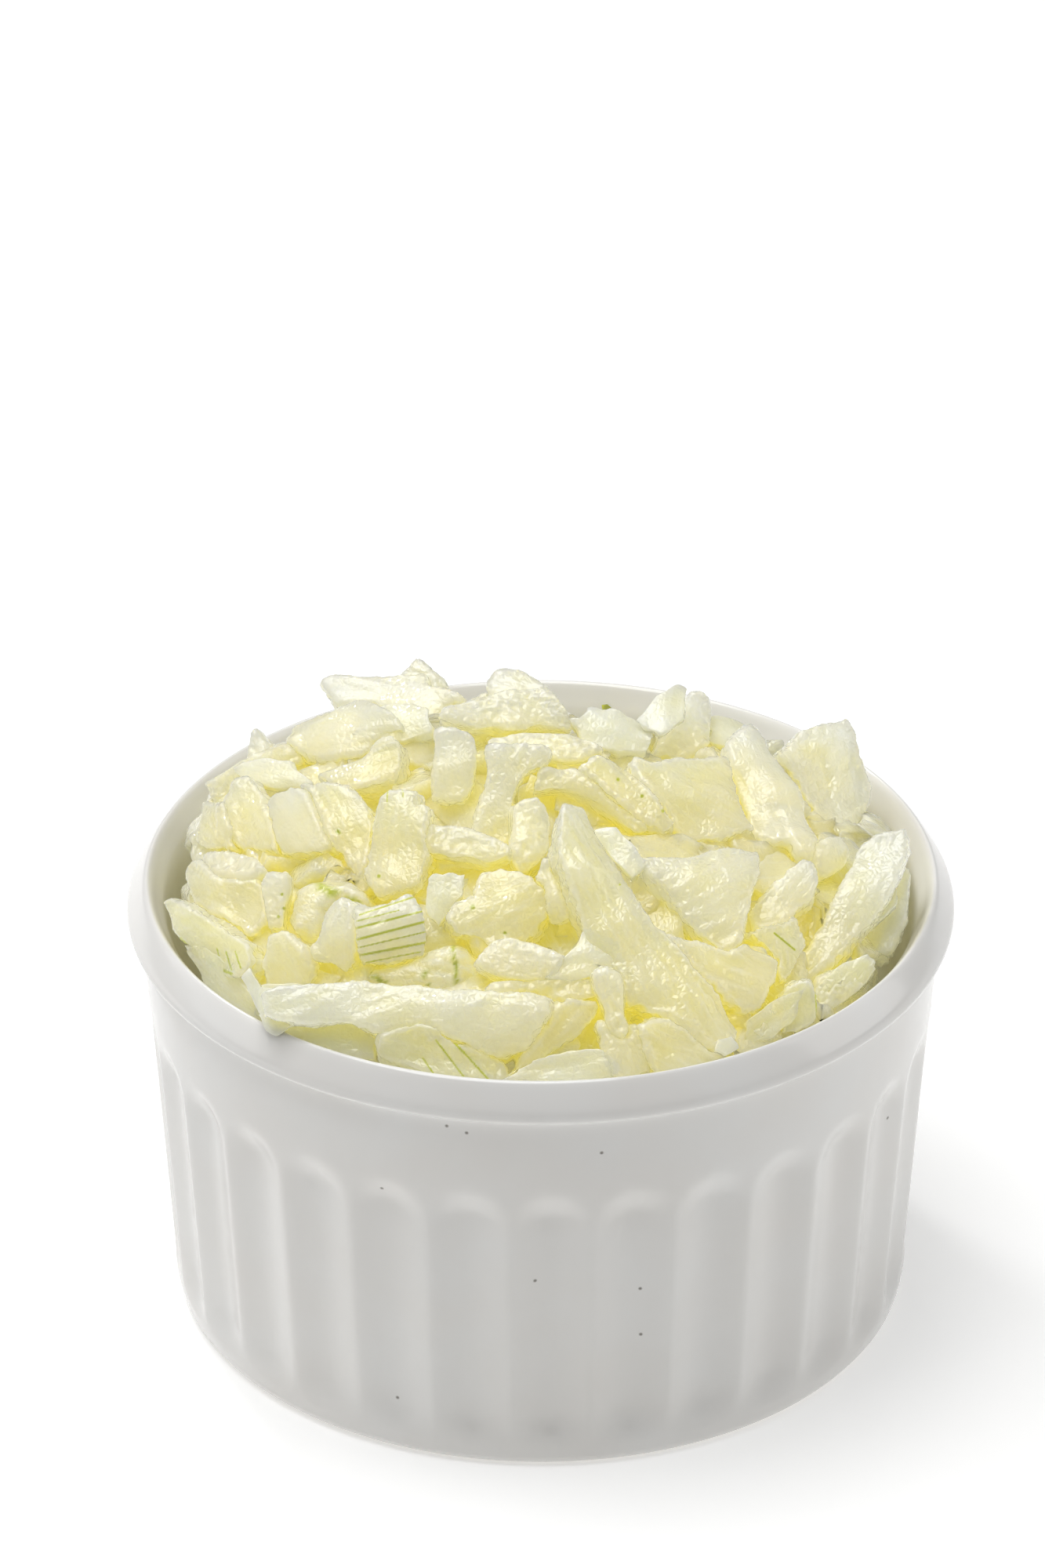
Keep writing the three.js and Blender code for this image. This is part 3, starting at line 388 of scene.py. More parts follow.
# Green veins as seen from the front: start, end and half width in mm
VEINS = {
    "striped_cap": [((-19.7, -4.6), (-13.6, -2.6), 0.06), ((-20.2, -6.1), (-12.8, -4.2), 0.08),
                    ((-20, -7.3), (-12.4, -5.3), 0.09), ((-19.9, -8.2), (-12.3, -6.4), 0.05),
                    ((-19.6, -9), (-12.4, -7.6), 0.09), ((-19, -9.8), (-12.9, -8.6), 0.05),
                    ((-20, -5.3), (-15.4, -4.1), 0.05)],
    "striped_flake_front": [((-10.2, -17.5), (-5.6, -22.6), 0.08), ((-11.4, -18.2), (-8.2, -22.4), 0.07),
                            ((-12.8, -20.2), (-11.2, -22.5), 0.07), ((-9.4, -18.6), (-7.4, -20.6), 0.05)],
    "green_veined_bit": [((25.4, -6.6), (27.6, -8.4), 0.08)],
    "left_centre_slab": [((-16.6, 9.3), (-16.7, 7.7), 0.05), ((-15, 9.4), (-15, 8.2), 0.05)],
    "green_edged_point": [((-40.6, -6.0), (-39.9, -6.7), 0.14), ((-39.2, -7.2), (-38.5, -7.9), 0.14),
                          ((-37.9, -8.4), (-37, -9.1), 0.12), ((-36.2, -9.6), (-35.4, -10.2), 0.14),
                          ((-34.8, -10.5), (-33.6, -11), 0.12), ((-33.2, -8.6), (-32.6, -10.4), 0.06),
                          ((-34.2, -8.6), (-33.6, -10.6), 0.06), ((-35.2, -8.2), (-34.8, -9.8), 0.05)],
    "chip_low_right_b": [((29.9, -12.6), (30.1, -15.9), 0.12)],
    "onion_bed": [((-12.9, -9.5), (-12.3, -12.2), 0.12), ((-9.5, -7.8), (-9.1, -12.3), 0.13),
                  ((-25.4, -16.6), (-24.8, -19), 0.12), ((-20.9, -9.8), (-17, -12), 0.2),
                  ((-24.2, -1.4), (-20, -3.4), 0.3)],
}
# Green specks, each at right, up and radius in mm
SPECKS = {
    "long_strip": [(8.6, -1.3, 0.2)],
    "bean_piece": [(-7.4, -3.8, 0.4), (-3.9, -6.6, 0.3)],
    "dotted_bar": [(8.4, 10.1, 0.3), (11, 8.3, 0.3), (13.3, 6.7, 0.3)],
    "dotted_flake": [(-22, 4.4, 0.4)],
    "left_centre_slab": [(-17.6, -0.4, 0.3)],
    "dotted_white_bit": [(-28.1, -2.4, 0.25), (-27.9, -3.9, 0.25), (-28.5, -4.8, 0.25)],
    "onion_bed": [(-20.1, -10.6, 0.4), (2.7, 8, 0.5)],
}
# Share of the points' spacing by which a thin edge stands out over its neighbours
EDGE_BULGE = 0.25
# How far out and up from a point its cover is read, and the cover of an open and of a sunk point
COVER_OUT = 1.6
COVER_UP = 0.8
COVER_OPEN = 0.15
COVER_DEEP = 0.36


def smoothed_copy(node, voxel):
    """Refined node with its facets melted together and its cut edges kept, in the warped heap."""
    mesh = fine_copy(node, voxel)
    points, normals, edges = read(mesh)
    points = soften(points, edges, normals, 1)
    points = soften(points, edges, normals, 8, crease=40.0)
    write(mesh, warp(points))
    return mesh


def edge_light_mask(points, edges, normals):
    """Mask of the thin edges that the material paints near white, as painted light shining through them
    and a painted highlight, from 0 to 1: how far each point stands out over the mean of its
    neighbours, against the spacing of the points."""
    bulge = ((points - soften(points, edges, normals, 2)) * normals).sum(axis=1)
    spacing = np.linalg.norm(points[edges[:, 0]] - points[edges[:, 1]], axis=1).mean()
    return soften(np.clip(bulge / (EDGE_BULGE * spacing), 0, 1), edges, normals, 1)


def covered(cover, points, normals):
    """How much flesh stands over a point, from 0 in the open to 1 in a crevice: the blurred
    grid just in front of the surface and above it."""
    thick = sample(cover, points + COVER_OUT * normals + [0, 0, COVER_UP])
    return np.clip((thick - COVER_OPEN) / (COVER_DEEP - COVER_OPEN), 0, 1)


def dress(mesh, node, look, seed, crowd, cover, tear):
    """Moves the surface along its normals by slow swells, fibres that run the long way,
    crinkles, torn cut edges and a push into the pieces that it lies against, and stores what
    the material reads: cut faces, veins, how covered a point is, and the piece's own axes. A
    crinkle or a tear is one minus twice the size of a wave, which gives sharp ridges."""
    crinkle = LOOKS[look][2]
    points, normals, edges = read(mesh)
    centre, axes = layer_axes(points)
    grain = (points - centre) @ axes
    cut = np.clip((0.75 - np.abs(normals @ axes[:, 2])) / 0.35, 0, 1)
    own = np.zeros(np.prod(GRID_SHAPE), bool)
    own[cells_of(points, 1)] = True
    cell = ((points - GRID_START) / CELL).astype(int)
    number = np.ravel_multi_index(cell.T, GRID_SHAPE, mode="clip")
    touch = soften((crowd[number] > own[number]).astype(float), edges, normals, 6)
    fibre = waves(grain * [0.16, 1, 1], FIBRE_LENGTH, seed + 1)
    swell = waves(points, SWELL_LENGTH, seed + 2)
    fold = 1 - 2 * np.abs(waves(grain * [0.6, 1, 1], CRINKLE_LENGTH, seed + 3))
    torn = (1 - 2 * np.abs(waves(points, TEAR_LENGTH, seed + 4))
            + 0.5 * waves(points, TEAR_LENGTH / 2, seed + 5))
    move = (PUSH * touch + SWELL * swell + FIBRE * fibre + crinkle * fold * (1 - 0.4 * cut)
            + tear * cut * torn)
    points = points + normals * np.clip(move, -MOST_MOVE, MOST_MOVE)[:, None]
    points = soften(points, edges, normals, 1)
    write(mesh, points)
    mesh.shade_smooth()
    points, normals, edges = read(mesh)
    front = seen(points)
    green = np.zeros(len(points))
    for start, end, half in VEINS.get(node, []):
        green = np.maximum(green, np.clip(2.1 - to_segment(front, start, end) / half, 0, 1))
    for right, up, radius in SPECKS.get(node, []):
        away = np.linalg.norm(front - [right, up], axis=1)
        green = np.maximum(green, np.clip(2 - 2 * away / radius, 0, 1))
    set_values(mesh, "green", green)
    set_values(mesh, "cut", cut)
    # The material paints thin edges near white and covered points gold: painted light
    set_values(mesh, "thin", edge_light_mask(points, edges, normals))
    set_values(mesh, "deep", covered(cover, points, normals))
    set_values(mesh, "grain", grain + 3 * seed)


# Raw onion flesh, cut by knife: water-filled cells that let light in and scatter it. On top, thin
# edges and gaps are painted: a painted glow that the flesh emits, painted near white on thin edges
# and painted gold where covered. A film of juice gives a wet shine, and fibres 0.9 mm apart run
# along each layer. Veins let no light through.
CLEAR = 0.45
# Strength of the painted glow that the flesh emits
PAINTED_GLOW_STRENGTH = 0.27
WATERY_IOR = 1.36
# How far light spreads inside a piece and inside a thin flake, in mm
FLESH_REACH = 6.0
FLAKE_REACH = 1.5


def onion_flesh(name, look, reach):
    """Material for one look, with light that spreads inside as far as the reach. The piece's own
    axes are in mm, and so are the lengths of its fibres, cells and clouds."""
    skin_colour, cut_colour, crinkle, roughness = LOOKS[look]
    material = bpy.data.materials.new(name)
    material.use_nodes = True
    tree = material.node_tree
    shader = tree.nodes["Principled BSDF"]
    grain = add_node(tree, "ShaderNodeAttribute", {"attribute_name": "grain"}).outputs["Vector"]
    cut = add_node(tree, "ShaderNodeAttribute", {"attribute_name": "cut"}).outputs["Fac"]
    thin = add_node(tree, "ShaderNodeAttribute", {"attribute_name": "thin"}).outputs["Fac"]
    green = add_node(tree, "ShaderNodeAttribute", {"attribute_name": "green"}).outputs["Fac"]
    deep = add_node(tree, "ShaderNodeAttribute", {"attribute_name": "deep"}).outputs["Fac"]
    stretched = add_node(tree, "ShaderNodeMapping", {}, {"Vector": grain, "Scale": (0.12, 1.1, 1.1)})
    fibres = add_node(tree, "ShaderNodeTexNoise", {},
                      {"Vector": stretched.outputs[0], "Scale": 1.0, "Detail": 3.0, "Roughness": 0.6})
    cells = add_node(tree, "ShaderNodeTexVoronoi", {"feature": "DISTANCE_TO_EDGE"},
                     {"Vector": grain, "Scale": 1.6, "Randomness": 1.0})
    cloud = add_node(tree, "ShaderNodeTexNoise", {}, {"Vector": grain, "Scale": 0.22, "Detail": 2.0})
    base = add_node(tree, "ShaderNodeMix", {"data_type": "RGBA"},
                    {0: cut, 6: linear(skin_colour), 7: linear(cut_colour)})
    patch = add_node(tree, "ShaderNodeMapRange", {},
                     {"Value": cloud.outputs["Fac"], "From Min": 0.42, "From Max": 0.7, "To Max": 0.3})
    clouded = add_node(tree, "ShaderNodeMix", {"data_type": "RGBA"},
                       {0: patch.outputs[0], 6: base.outputs[2], 7: linear(GOLD_TONE_AND_PAINTED_LIGHT)})
    # Painted gold light: the more a point is covered, the more its colour is painted gold
    sunk = add_node(tree, "ShaderNodeMath", {"operation": "MULTIPLY"}, {0: deep, 1: 0.75})
    depth = add_node(tree, "ShaderNodeMix", {"data_type": "RGBA"},
                     {0: sunk.outputs[0], 6: clouded.outputs[2], 7: linear(GOLD_TONE_AND_PAINTED_LIGHT)})
    streak = add_node(tree, "ShaderNodeMapRange", {},
                      {"Value": fibres.outputs["Fac"], "From Min": 0.48, "From Max": 0.66,
                       "To Max": 0.25 + 5 * crinkle})
    streaked = add_node(tree, "ShaderNodeMix", {"data_type": "RGBA"},
                        {0: streak.outputs[0], 6: depth.outputs[2], 7: linear(STREAK_WHITE)})
    # Painted light and highlight: thin edges painted near white
    edge_lit = add_node(tree, "ShaderNodeMix", {"data_type": "RGBA"},
                     {0: thin, 6: streaked.outputs[2], 7: linear(PAINTED_EDGE_LIGHT)})
    vein = add_node(tree, "ShaderNodeMix", {"data_type": "RGBA"},
                    {0: green, 6: edge_lit.outputs[2], 7: linear(VEIN_GREEN)})
    # Painted glow: the emission colour runs from pale in the open to gold where a point is covered
    glow = add_node(tree, "ShaderNodeMix", {"data_type": "RGBA"},
                    {0: deep, 6: linear(PAINTED_GLOW_OPEN), 7: linear(PAINTED_GLOW_CREVICE)})
    relief = add_node(tree, "ShaderNodeMath", {"operation": "ADD"},
                      {0: fibres.outputs["Fac"], 1: cells.outputs["Distance"]})
    bump = add_node(tree, "ShaderNodeBump", {},
                    {"Height": relief.outputs[0], "Strength": 0.8, "Distance": (0.1 + crinkle) * MM})
    clear = add_node(tree, "ShaderNodeMapRange", {}, {"Value": green, "To Min": CLEAR, "To Max": 0.0})
    tree.links.new(vein.outputs[2], shader.inputs["Base Color"])
    tree.links.new(clear.outputs[0], shader.inputs["Transmission Weight"])
    tree.links.new(bump.outputs["Normal"], shader.inputs["Normal"])
    tree.links.new(bump.outputs["Normal"], shader.inputs["Coat Normal"])
    tree.links.new(glow.outputs[2], shader.inputs["Emission Color"])
    shader.inputs["Emission Strength"].default_value = PAINTED_GLOW_STRENGTH
    shader.inputs["Roughness"].default_value = roughness
    shader.inputs["IOR"].default_value = WATERY_IOR
    shader.inputs["Subsurface Weight"].default_value = 1.0
    shader.inputs["Subsurface Radius"].default_value = (1.0, 0.97, 0.8)
    shader.inputs["Subsurface Scale"].default_value = reach * MM
    shader.inputs["Coat Weight"].default_value = 1.0
    shader.inputs["Coat Roughness"].default_value = 0.07
    shader.inputs["Coat IOR"].default_value = WATERY_IOR
    return material


flesh = {look: onion_flesh(f"raw onion flesh, {look}", look, FLESH_REACH) for look in LOOKS}
chips = sorted(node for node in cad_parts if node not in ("ramekin", "onion_bed"))
look_of = {node: "crystal" if node in CRYSTAL else "milk" if node in MILK else "leaf" if node in LEAF
           else "cream" for node in chips}
meshes = {node: smoothed_copy(node, FINE_VOXEL if node in VEINS or node in SPECKS else VOXEL)
          for node in chips}
# Number of pieces that reach each cell, and the height of the top pieces over each spot
crowd = np.zeros(np.prod(GRID_SHAPE), np.int8)
tops = [read(meshes[node])[0] for node in chips]
for points in tops:
    crowd[cells_of(points, 1)] += 1
tops = np.vstack(tops)
ceiling = np.full(GRID_SHAPE[:2], -np.inf)
columns = ((tops - GRID_START) / CELL).astype(int)
np.maximum.at(ceiling, (columns[:, 0], columns[:, 1]), tops[:, 2])

# Bed: the chopped onion under the top pieces, packed down into the ramekin. The same flesh,
# but light reaches it through the pieces above and shows as gold between them; its yellower
# colour is that gold light, painted in.
LOOKS["bed"] = ("#EFE9BC", "#F1ECC8", 0.08, 0.3)
BED_VOXEL = 0.58
BED_TEAR = 0.25
BED_SEED = 4152
bed_mesh = smoothed_copy("onion_bed", BED_VOXEL)

# Chips in the gaps: shorter pieces that slid down between the strips, each a flat cut of one
# layer with four to six straight knife edges. They lie under the top pieces all over the heap.
GAP_CHIPS = 150
GAP_SEED = 909
# Ranges in mm of their length, width, thickness, depth under the heap and radius of bow
GAP_LENGTH = (9, 15)
GAP_WIDTH = (6, 10)
GAP_THICK = (1.4, 3.0)
GAP_DEPTH = (2.2, 4.6)
GAP_BOW = (9, 22)
GAP_REACH = 37.0
INSIDE_RADIUS = 39.2
UNDER_PIECE = 1.3
UNDER_HEAP = 0.8
# Points round a slab, and the steps from the middle of its face to the edge
ROUND = 48
FACE_STEPS = np.array([0.0, 0.35, 0.65, 0.85, 0.95, 1.0])
SLAB_TORN = 0.05
SLAB_CRINKLE = 0.1
# The heap's crown (right, back and up from the rim's centre) and its reach to the side, front and
# back, then the skyline over the rim as the front shows it
CROWN = (-3.0, 6.0, 15.0)
HEAP_REACH = (44.0, 42.0, 34.0)
SKYLINE = [(-44, 1), (-36, 8), (-30, 12), (-24, 15.5), (-16, 17), (-8, 19), (1, 19.5), (5, 17.5),
           (12, 16), (25, 15.5), (34, 15.5), (40, 5), (44, 0)]


def heap_rise(x, y):
    """Height of the heap over the rim: a dome that falls with the square of the way from its
    crown, cut down behind to the straight line of sight over the skyline."""
    reach = np.where(y < CROWN[1], HEAP_REACH[1], HEAP_REACH[2])
    dome = CROWN[2] * (1 - ((x - CROWN[0]) / HEAP_REACH[0]) ** 2 - ((y - CROWN[1]) / reach) ** 2)
    skyline = np.interp(x, *np.array(SKYLINE, float).T)
    return np.minimum(dome, (skyline - y * math.sin(EYE_ELEVATION)) / math.cos(EYE_ELEVATION))


def heap_facing(x, y):
    """Unit normal of the heap, from its slopes over half a millimetre."""
    slope_x = heap_rise(x + 0.5, y) - heap_rise(x - 0.5, y)
    slope_y = heap_rise(x, y + 0.5) - heap_rise(x, y - 0.5)
    facing = np.array([-slope_x, -slope_y, 1.0])
    return facing / np.linalg.norm(facing)


def resampled(corners):
    """Evenly spaced points along a closed outline of straight edges."""
    loop = np.vstack([corners, corners[:1]])
    run = np.concatenate([[0], np.cumsum(np.linalg.norm(np.diff(loop, axis=0), axis=1))])
    along = np.linspace(0, run[-1], ROUND, endpoint=False)
    return np.stack([np.interp(along, run, loop[:, k]) for k in (0, 1)], axis=1)


def slab(outline, centre, axes, thick, thin, bow, seed):
    """Points and own coordinates of a flat cut of one layer. The first parameter runs round the
    outline, the second from the middle of the top face over the edge to the middle of the back.
    The slab bows across its grain by y squared over twice the bow radius, is thinner towards one
    end and, by a crinkle of waves, nowhere quite flat."""
    steps = len(FACE_STEPS)
    share = np.concatenate([FACE_STEPS, [1.0], FACE_STEPS[::-1]])[:, None]
    level = np.concatenate([np.full(steps, 0.5), [0.0], np.full(steps, -0.5)])[:, None]
    flat = thick * np.repeat(level, ROUND, axis=1)
    spot = np.stack([outline[:, 0] * share, outline[:, 1] * share, flat], axis=-1).reshape(-1, 3)
    torn = 1 + SLAB_TORN * waves(spot + seed, 1.8, seed)
    x, y = spot[:, 0] * torn, spot[:, 1] * torn
    reach = np.abs(outline[:, 0]).max()
    z = spot[:, 2] * (1 - thin * np.clip(x / reach, 0, 1)) - y ** 2 / (2 * bow)
    z = z + SLAB_CRINKLE * waves(spot * [0.5, 1, 0], 2.4, seed + 1)
    side = np.repeat(np.concatenate([np.zeros(steps - 1), [0.7, 1, 0.7], np.zeros(steps - 1)]), ROUND)
    own = np.stack([x, y, z], axis=-1)
    return own @ axes + centre, own, side


def slabs_mesh(name, slabs):
    """One mesh from many slabs, with what the material reads stored by point."""
    rings = 2 * len(FACE_STEPS) + 1
    first = np.arange(len(slabs))[:, None, None] * rings + np.arange(rings - 1)[:, None]
    low = first * ROUND + np.arange(ROUND)
    after = np.roll(low, -1, axis=2)
    quads = np.stack([low, low + ROUND, after + ROUND, after], axis=-1).reshape(-1, 4)
    mesh = bpy.data.meshes.new(name)
    mesh.from_pydata((np.vstack([one[0] for one in slabs]) * MM).tolist(), [], quads.tolist())
    set_values(mesh, "cut", np.concatenate([one[2] for one in slabs]))
    set_values(mesh, "grain", np.vstack([one[1] + 5 * k for k, one in enumerate(slabs)]))
    merge_points(mesh, 1e-7)
    mesh.shade_smooth()
    return mesh


# Loose flakes: torn tips and thin skins of onion that the knife left. They lie between the pieces
# on the heap, and low beside the wall, and stick by their juice.
FLAKE_THIN = 0.3
FLAKE_BOW = 14.0
# Flakes on the heap as seen from the front: corners, how far each stands out towards the eye, lean
# to the right and to the front, thickness
FLAKES = [
    ([(-32.4, -11.6), (-31.7, -10.3), (-30.6, -12.4), (-29, -12.6), (-29, -15.2), (-30.6, -15.4),
      (-31.2, -14.2)], 4.0, (0, 0.5), 1.4),
    ([(-30.8, -15.4), (-29.8, -17.2), (-28.8, -17.8), (-26.6, -16.4), (-27, -15.2)], 3.4, (0, 0.4), 0.7),
    ([(5.4, 4.4), (7, 5), (8.3, 4.9), (9.6, 3.4), (11.4, 1.4), (10, -0.6), (8, 1.6)], 4.2, (-0.2, 0.4), 2.0),
    ([(19.4, -18.2), (19.2, -19.3), (20.2, -19.9), (21.6, -19.1), (20.8, -17.8)], 4.6, (0.1, 0.4), 0.9),
    ([(5.4, -5.8), (3.1, -8.6), (0.8, -11.3), (3, -11.9), (6.4, -11.2), (9.4, -10.6), (10.6, -12.4),
      (8.6, -8)], 2.6, (0.1, 0.4), 2.2),
    ([(38.7, -1.6), (38.8, -3.3), (37.4, -4.6), (35.6, -6), (35.4, -4)], 2.6, (-0.4, 0.3), 1.6),
    ([(-12.3, -0.6), (-10.2, 0.1), (-8.3, -0.2), (-8.6, -2.4), (-10.4, -4.4), (-11.2, -5.8), (-12.6, -3.8)],
     2.0, (-0.1, 0.5), 2.0),
    ([(3.6, 16.8), (6, 18.1), (8.6, 17.7), (10.4, 16.6), (12.4, 15.2), (11.4, 13.2), (8, 13.4), (5, 14.2)],
     2.6, (0.1, 0.7), 2.2),
    ([(10.6, 16.8), (12.6, 19.2), (14.6, 20.3), (15.9, 20.1), (15.6, 17), (13, 15)], 3.0, (0, 0.8), 1.2),
    ([(18.2, 16.9), (20.6, 16.9), (22.6, 16.1), (24.6, 14.6), (25.2, 12.8), (21.4, 13.4), (18.6, 14.4)],
     2.2, (0.1, 0.6), 1.8),
    ([(-4, -22.6), (-1, -20.6), (3, -19.4), (6.6, -19.2), (8, -20.4), (8.2, -22.6), (3, -23.2)],
     1.2, (0, 0.4), 2.4),
    ([(35.4, -8.6), (34.6, -6.8), (37, -3), (38.8, 0.8), (40, 0.6), (39.6, -4.6), (38, -8.4)],
     -0.6, (-0.7, 0.3), 2.0),
    ([(-33.6, 11.4), (-31, 12.4), (-27.4, 12.2), (-25.4, 9.8), (-28.6, 9.2), (-32, 9.8)],
     1.6, (-0.1, 0.6), 1.8),
    ([(-20.2, 15.2), (-19.2, 17.8), (-15.6, 18.6), (-12.4, 17.8), (-11.8, 15.4), (-15, 14.4)],
     2.6, (0, 0.6), 1.8),
]
# The same for greener ones, low beside the wall
LOW_FLAKES = [
    ([(-28.4, -17.2), (-24, -15.6), (-20.4, -15.6), (-18, -17.4), (-18.2, -20.4), (-22, -20), (-26, -18.8)],
     1.4, (0, 0.5), 2.4),
    ([(24, -15), (26, -13.6), (28.6, -12.8), (27.4, -16.4), (25, -18), (22.6, -18.6), (22, -16.6)],
     0.8, (0, 0.6), 2.2),
    ([(-39.2, -7.6), (-36.6, -8), (-33.6, -10.4), (-31.2, -13.4), (-30.4, -16.4), (-33, -15.4), (-36.6, -12)],
     -0.4, (-0.5, 0.5), 2.4),
    ([(-31.4, -12.6), (-29.6, -12.2), (-25, -12), (-24.6, -14), (-28, -15.6), (-31, -15.4)],
     0.6, (0, 0.6), 2.0),
    ([(30, -15.4), (31.2, -12.8), (35.2, -12), (36.4, -9.6), (35.6, -8.8), (32, -10.4), (29.8, -12.6)],
     0.4, (-0.3, 0.4), 2.2),
]


def lying_on_heap(corners, near, lean, thick, seed):
    """A slab whose outline shows as drawn: sight lines from the eye through its corners are cut
    with a plane that leans as the heap does under the outline's middle."""
    corners = np.array(corners, float)
    drawn = np.vstack([corners.mean(axis=0), corners])
    rays = RIM_CENTRE + drawn[:, :1] * [1, 0, 0] + drawn[:, 1:] * UP - EYE
    rays /= np.linalg.norm(rays, axis=1)[:, None]
    path = EYE + np.arange(EYE_DISTANCE - 60, EYE_DISTANCE + 30, 0.25)[:, None] * rays[0]
    above = path[:, 2] - RIM_HEIGHT - heap_rise(path[:, 0], path[:, 1])
    under = above <= 0
    ground = path[under.argmax() if under.any() else above.argmin()]
    origin = ground - near * rays[0]
    facing = heap_facing(ground[0], ground[1]) + [lean[0], -lean[1], 0]
    facing /= np.linalg.norm(facing)
    hits = EYE + rays[1:] * (((origin - EYE) @ facing) / (rays[1:] @ facing))[:, None] - origin
    along = hits[np.linalg.norm(hits, axis=1).argmax()]
    along = along / np.linalg.norm(along)
    axes = np.stack([along, np.cross(facing, along), facing])
    outline = resampled(hits @ axes[:2].T)
    area = (outline[:, 0] * np.roll(outline[:, 1], -1) - np.roll(outline[:, 0], -1) * outline[:, 1]).sum()
    outline = outline if area > 0 else outline[::-1]
    return slab(outline, origin - thick / 2 * facing, axes, thick, FLAKE_THIN, FLAKE_BOW, seed)


draw = np.random.default_rng(GAP_SEED)
slabs = []
for number in range(GAP_CHIPS):
    distance = GAP_REACH * math.sqrt((number + 0.5) / GAP_CHIPS)
    turn = number * math.pi * (3 - math.sqrt(5))
    x, y = distance * math.cos(turn), distance * math.sin(turn)
    facing = heap_facing(x, y) + draw.uniform(-0.5, 0.5, 3) * [1, 1, 0]
    facing /= np.linalg.norm(facing)
    along = np.cross(facing, draw.normal(size=3))
    along /= np.linalg.norm(along)
    axes = np.stack([along, np.cross(facing, along), facing])
    sides = draw.integers(4, 7)
    # Corners evenly round the middle, each a little off its even place
    turns = (np.arange(sides) + draw.uniform(-0.28, 0.28, sides)) * 2 * np.pi / sides
    away = draw.uniform(0.85, 1.15, sides) / 2
    long, wide = draw.uniform(*GAP_LENGTH), draw.uniform(*GAP_WIDTH)
    corners = np.stack([long * away * np.cos(turns), wide * away * np.sin(turns)], axis=1)
    centre = np.array([x, y, RIM_HEIGHT + float(heap_rise(x, y)) - draw.uniform(*GAP_DEPTH)])
    slabs.append(slab(resampled(corners), centre, axes, draw.uniform(*GAP_THICK), draw.uniform(0, 0.5),
                      draw.uniform(*GAP_BOW), number))
gap_mesh = slabs_mesh("chips_in_the_gaps", slabs)
points, normals, edges = read(gap_mesh)
radius = np.hypot(points[:, 0], points[:, 1])
points[:, :2] *= np.minimum(1, INSIDE_RADIUS / np.maximum(radius, 1e-6))[:, None]
# Under a top piece a chip stays below its face, and in a gap below the heap's own surface
columns = ((points - GRID_START) / CELL).astype(int)
under = ceiling[columns[:, 0], columns[:, 1]] - UNDER_PIECE
between = RIM_HEIGHT + heap_rise(points[:, 0], points[:, 1]) - UNDER_HEAP
points[:, 2] = np.minimum(points[:, 2], np.where(np.isfinite(under), under, between))
write(gap_mesh, points)

# Flesh over each spot: the grid of all the pieces, blurred over 3.5 mm and then over 2.5 mm
solid = np.zeros(np.prod(GRID_SHAPE))
for mesh in [*meshes.values(), bed_mesh, gap_mesh]:
    solid[cells_of(read(mesh)[0])] = 1
cover = blurred(blurred(solid.reshape(GRID_SHAPE), 3), 2)

flakes = [lying_on_heap(*flake, 7 * k) for k, flake in enumerate(FLAKES)]
flake_mesh = slabs_mesh("loose_flakes", flakes)
low_flakes = [lying_on_heap(*flake, 50 + 7 * k) for k, flake in enumerate(LOW_FLAKES)]
# A crumb of green leaf, stuck to the inside of the lip behind the heap, within 1 mm of its place
CRUMB_SIZE = 1.0
crumb_place = np.array([7.5, 40.3, 48.35])
crumb_axes = np.array([[1, 0, 0], [0, 0.423, 0.906], [0, -0.906, 0.423]])
crumb = resampled(np.array([(0.6, 0), (0.1, 0.4), (-0.5, 0.3), (-0.4, -0.3), (0.2, -0.4)]))
low_flakes.append(slab(crumb, crumb_place, crumb_axes, 0.4, 0.0, FLAKE_BOW, 99))
low_mesh = slabs_mesh("low_flakes", low_flakes)

for number, node in enumerate(chips):
    dress(meshes[node], node, look_of[node], 10 * number, crowd, cover, TEAR)
    piece = bpy.data.objects.new(node + "_onion", meshes[node])
    bpy.context.collection.objects.link(piece)
    piece.data.materials.append(flesh[look_of[node]])
    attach(piece, "root")
    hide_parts(node)

dress(bed_mesh, "onion_bed", "bed", BED_SEED, crowd, cover, BED_TEAR)
bed = bpy.data.objects.new("onion_bed_onion", bed_mesh)
bpy.context.collection.objects.link(bed)
bed_mesh.materials.append(onion_flesh("raw onion flesh, packed", "bed", FLESH_REACH))
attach(bed, "root")
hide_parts("onion_bed")

flesh["flake"] = onion_flesh("raw onion flesh, thin flakes", "milk", FLAKE_REACH)
for mesh, look in ((gap_mesh, "cream"), (flake_mesh, "flake"), (low_mesh, "leaf")):
    points, normals, edges = read(mesh)
    set_values(mesh, "green", (np.linalg.norm(points - crumb_place, axis=1) < CRUMB_SIZE).astype(float))
    set_values(mesh, "thin", np.zeros(len(points)))
    set_values(mesh, "deep", covered(cover, points, normals))
    piece = bpy.data.objects.new(mesh.name, mesh)
    bpy.context.collection.objects.link(piece)
    mesh.materials.append(flesh[look])
    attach(piece, "root")

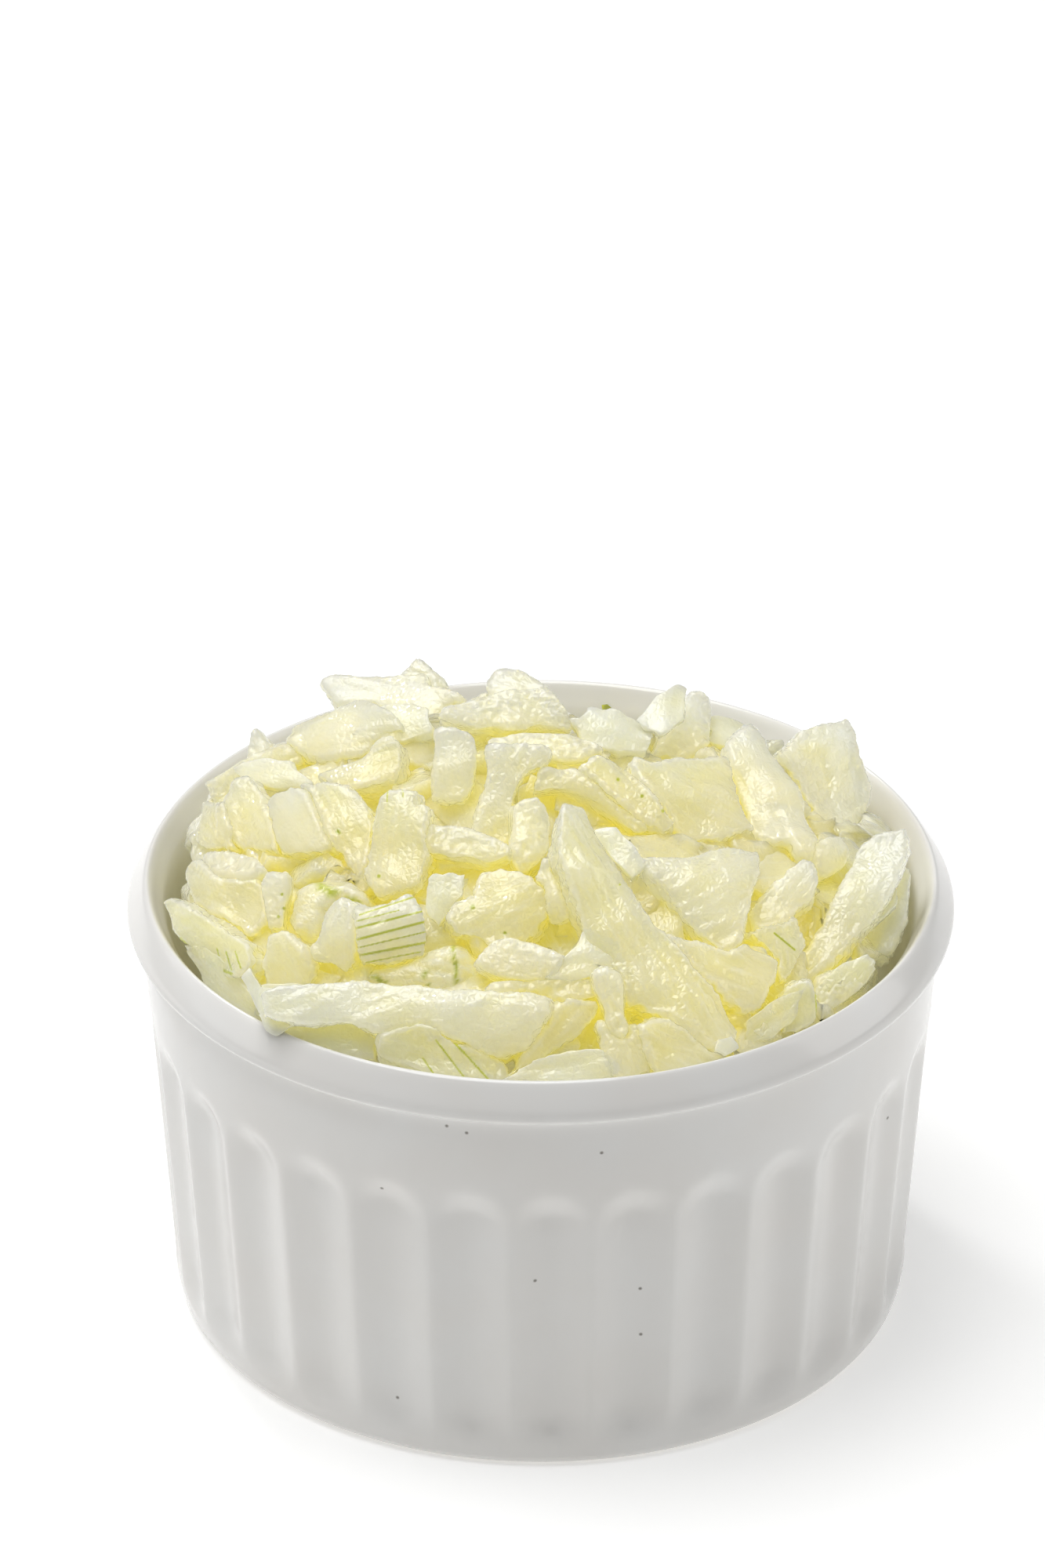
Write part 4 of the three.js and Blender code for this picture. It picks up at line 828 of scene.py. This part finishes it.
# Floor: a plain white studio sweep, just off white and matt.
FLOOR_SIZE = 3.0
floor_mesh = bpy.data.meshes.new("floor")
half = FLOOR_SIZE / 2
floor_mesh.from_pydata([(-half, -half, 0), (half, -half, 0), (half, half, 0), (-half, half, 0)], [],
                       [(0, 1, 2, 3)])
floor = bpy.data.objects.new("floor", floor_mesh)
bpy.context.collection.objects.link(floor)
paper = bpy.data.materials.new("white background paper")
paper.use_nodes = True
paper_shader = paper.node_tree.nodes["Principled BSDF"]
paper_shader.inputs["Base Color"].default_value = linear("#DADAD9")
paper_shader.inputs["Emission Color"].default_value = linear("#FFFFFF")
paper_shader.inputs["Emission Strength"].default_value = 0.42
paper_shader.inputs["Roughness"].default_value = 0.7
floor_mesh.materials.append(paper)

# Lights: white surroundings, three large soft boxes, above, left and right, and a small one behind
# on the left that glints on the glaze and the juice.
world = bpy.data.worlds.new("white room")
bpy.context.scene.world = world
world.use_nodes = True
world.node_tree.nodes["Background"].inputs["Color"].default_value = linear("#FFFFFF")
world.node_tree.nodes["Background"].inputs["Strength"].default_value = 0.1


def soft_box(name, place, target, size, power):
    """A square area light that faces a point: places and size in metres, power in watts."""
    light = bpy.data.lights.new(name, "AREA")
    light.size = size
    light.energy = power
    box = bpy.data.objects.new(name, light)
    bpy.context.collection.objects.link(box)
    ray = np.array(target, float) - np.array(place, float)
    box.location = place
    box.rotation_euler = (math.atan2(math.hypot(ray[0], ray[1]), -ray[2]), 0,
                          math.atan2(-ray[0], ray[1]) if math.hypot(ray[0], ray[1]) else 0)
    return box


soft_box("box_above", (-0.14, -0.03, 0.9), (0, 0, 0.04), 0.6, 6.2)
soft_box("box_left", (-0.85, 0.15, 0.6), (0, 0, 0.04), 0.9, 1.9)
soft_box("glint", (-0.25, 0.45, 0.6), (0, 0, 0.05), 0.1, 1.2)
soft_box("box_right", (0.9, 0.05, 0.4), (0, 0, 0.04), 0.6, 2.0)

# Camera: looks down on the rim by 30 degrees from the front, with a long lens.
AIM = (-1.98, 0.0, 61.59)
CAMERA_DISTANCE = 900.0
CAMERA_PITCH = math.radians(29.89)
LENS = 191.3
lens = bpy.data.cameras.new("camera")
lens.lens = LENS
lens.sensor_fit = "VERTICAL"
lens.sensor_height = 36.0
camera = bpy.data.objects.new("camera", lens)
bpy.context.collection.objects.link(camera)
camera.location = (AIM[0] * MM, -CAMERA_DISTANCE * math.cos(CAMERA_PITCH) * MM,
                   (AIM[2] + CAMERA_DISTANCE * math.sin(CAMERA_PITCH)) * MM)
camera.rotation_euler = (math.pi / 2 - CAMERA_PITCH, 0, 0)
bpy.context.scene.camera = camera
bpy.context.scene.view_settings.view_transform = "Standard"
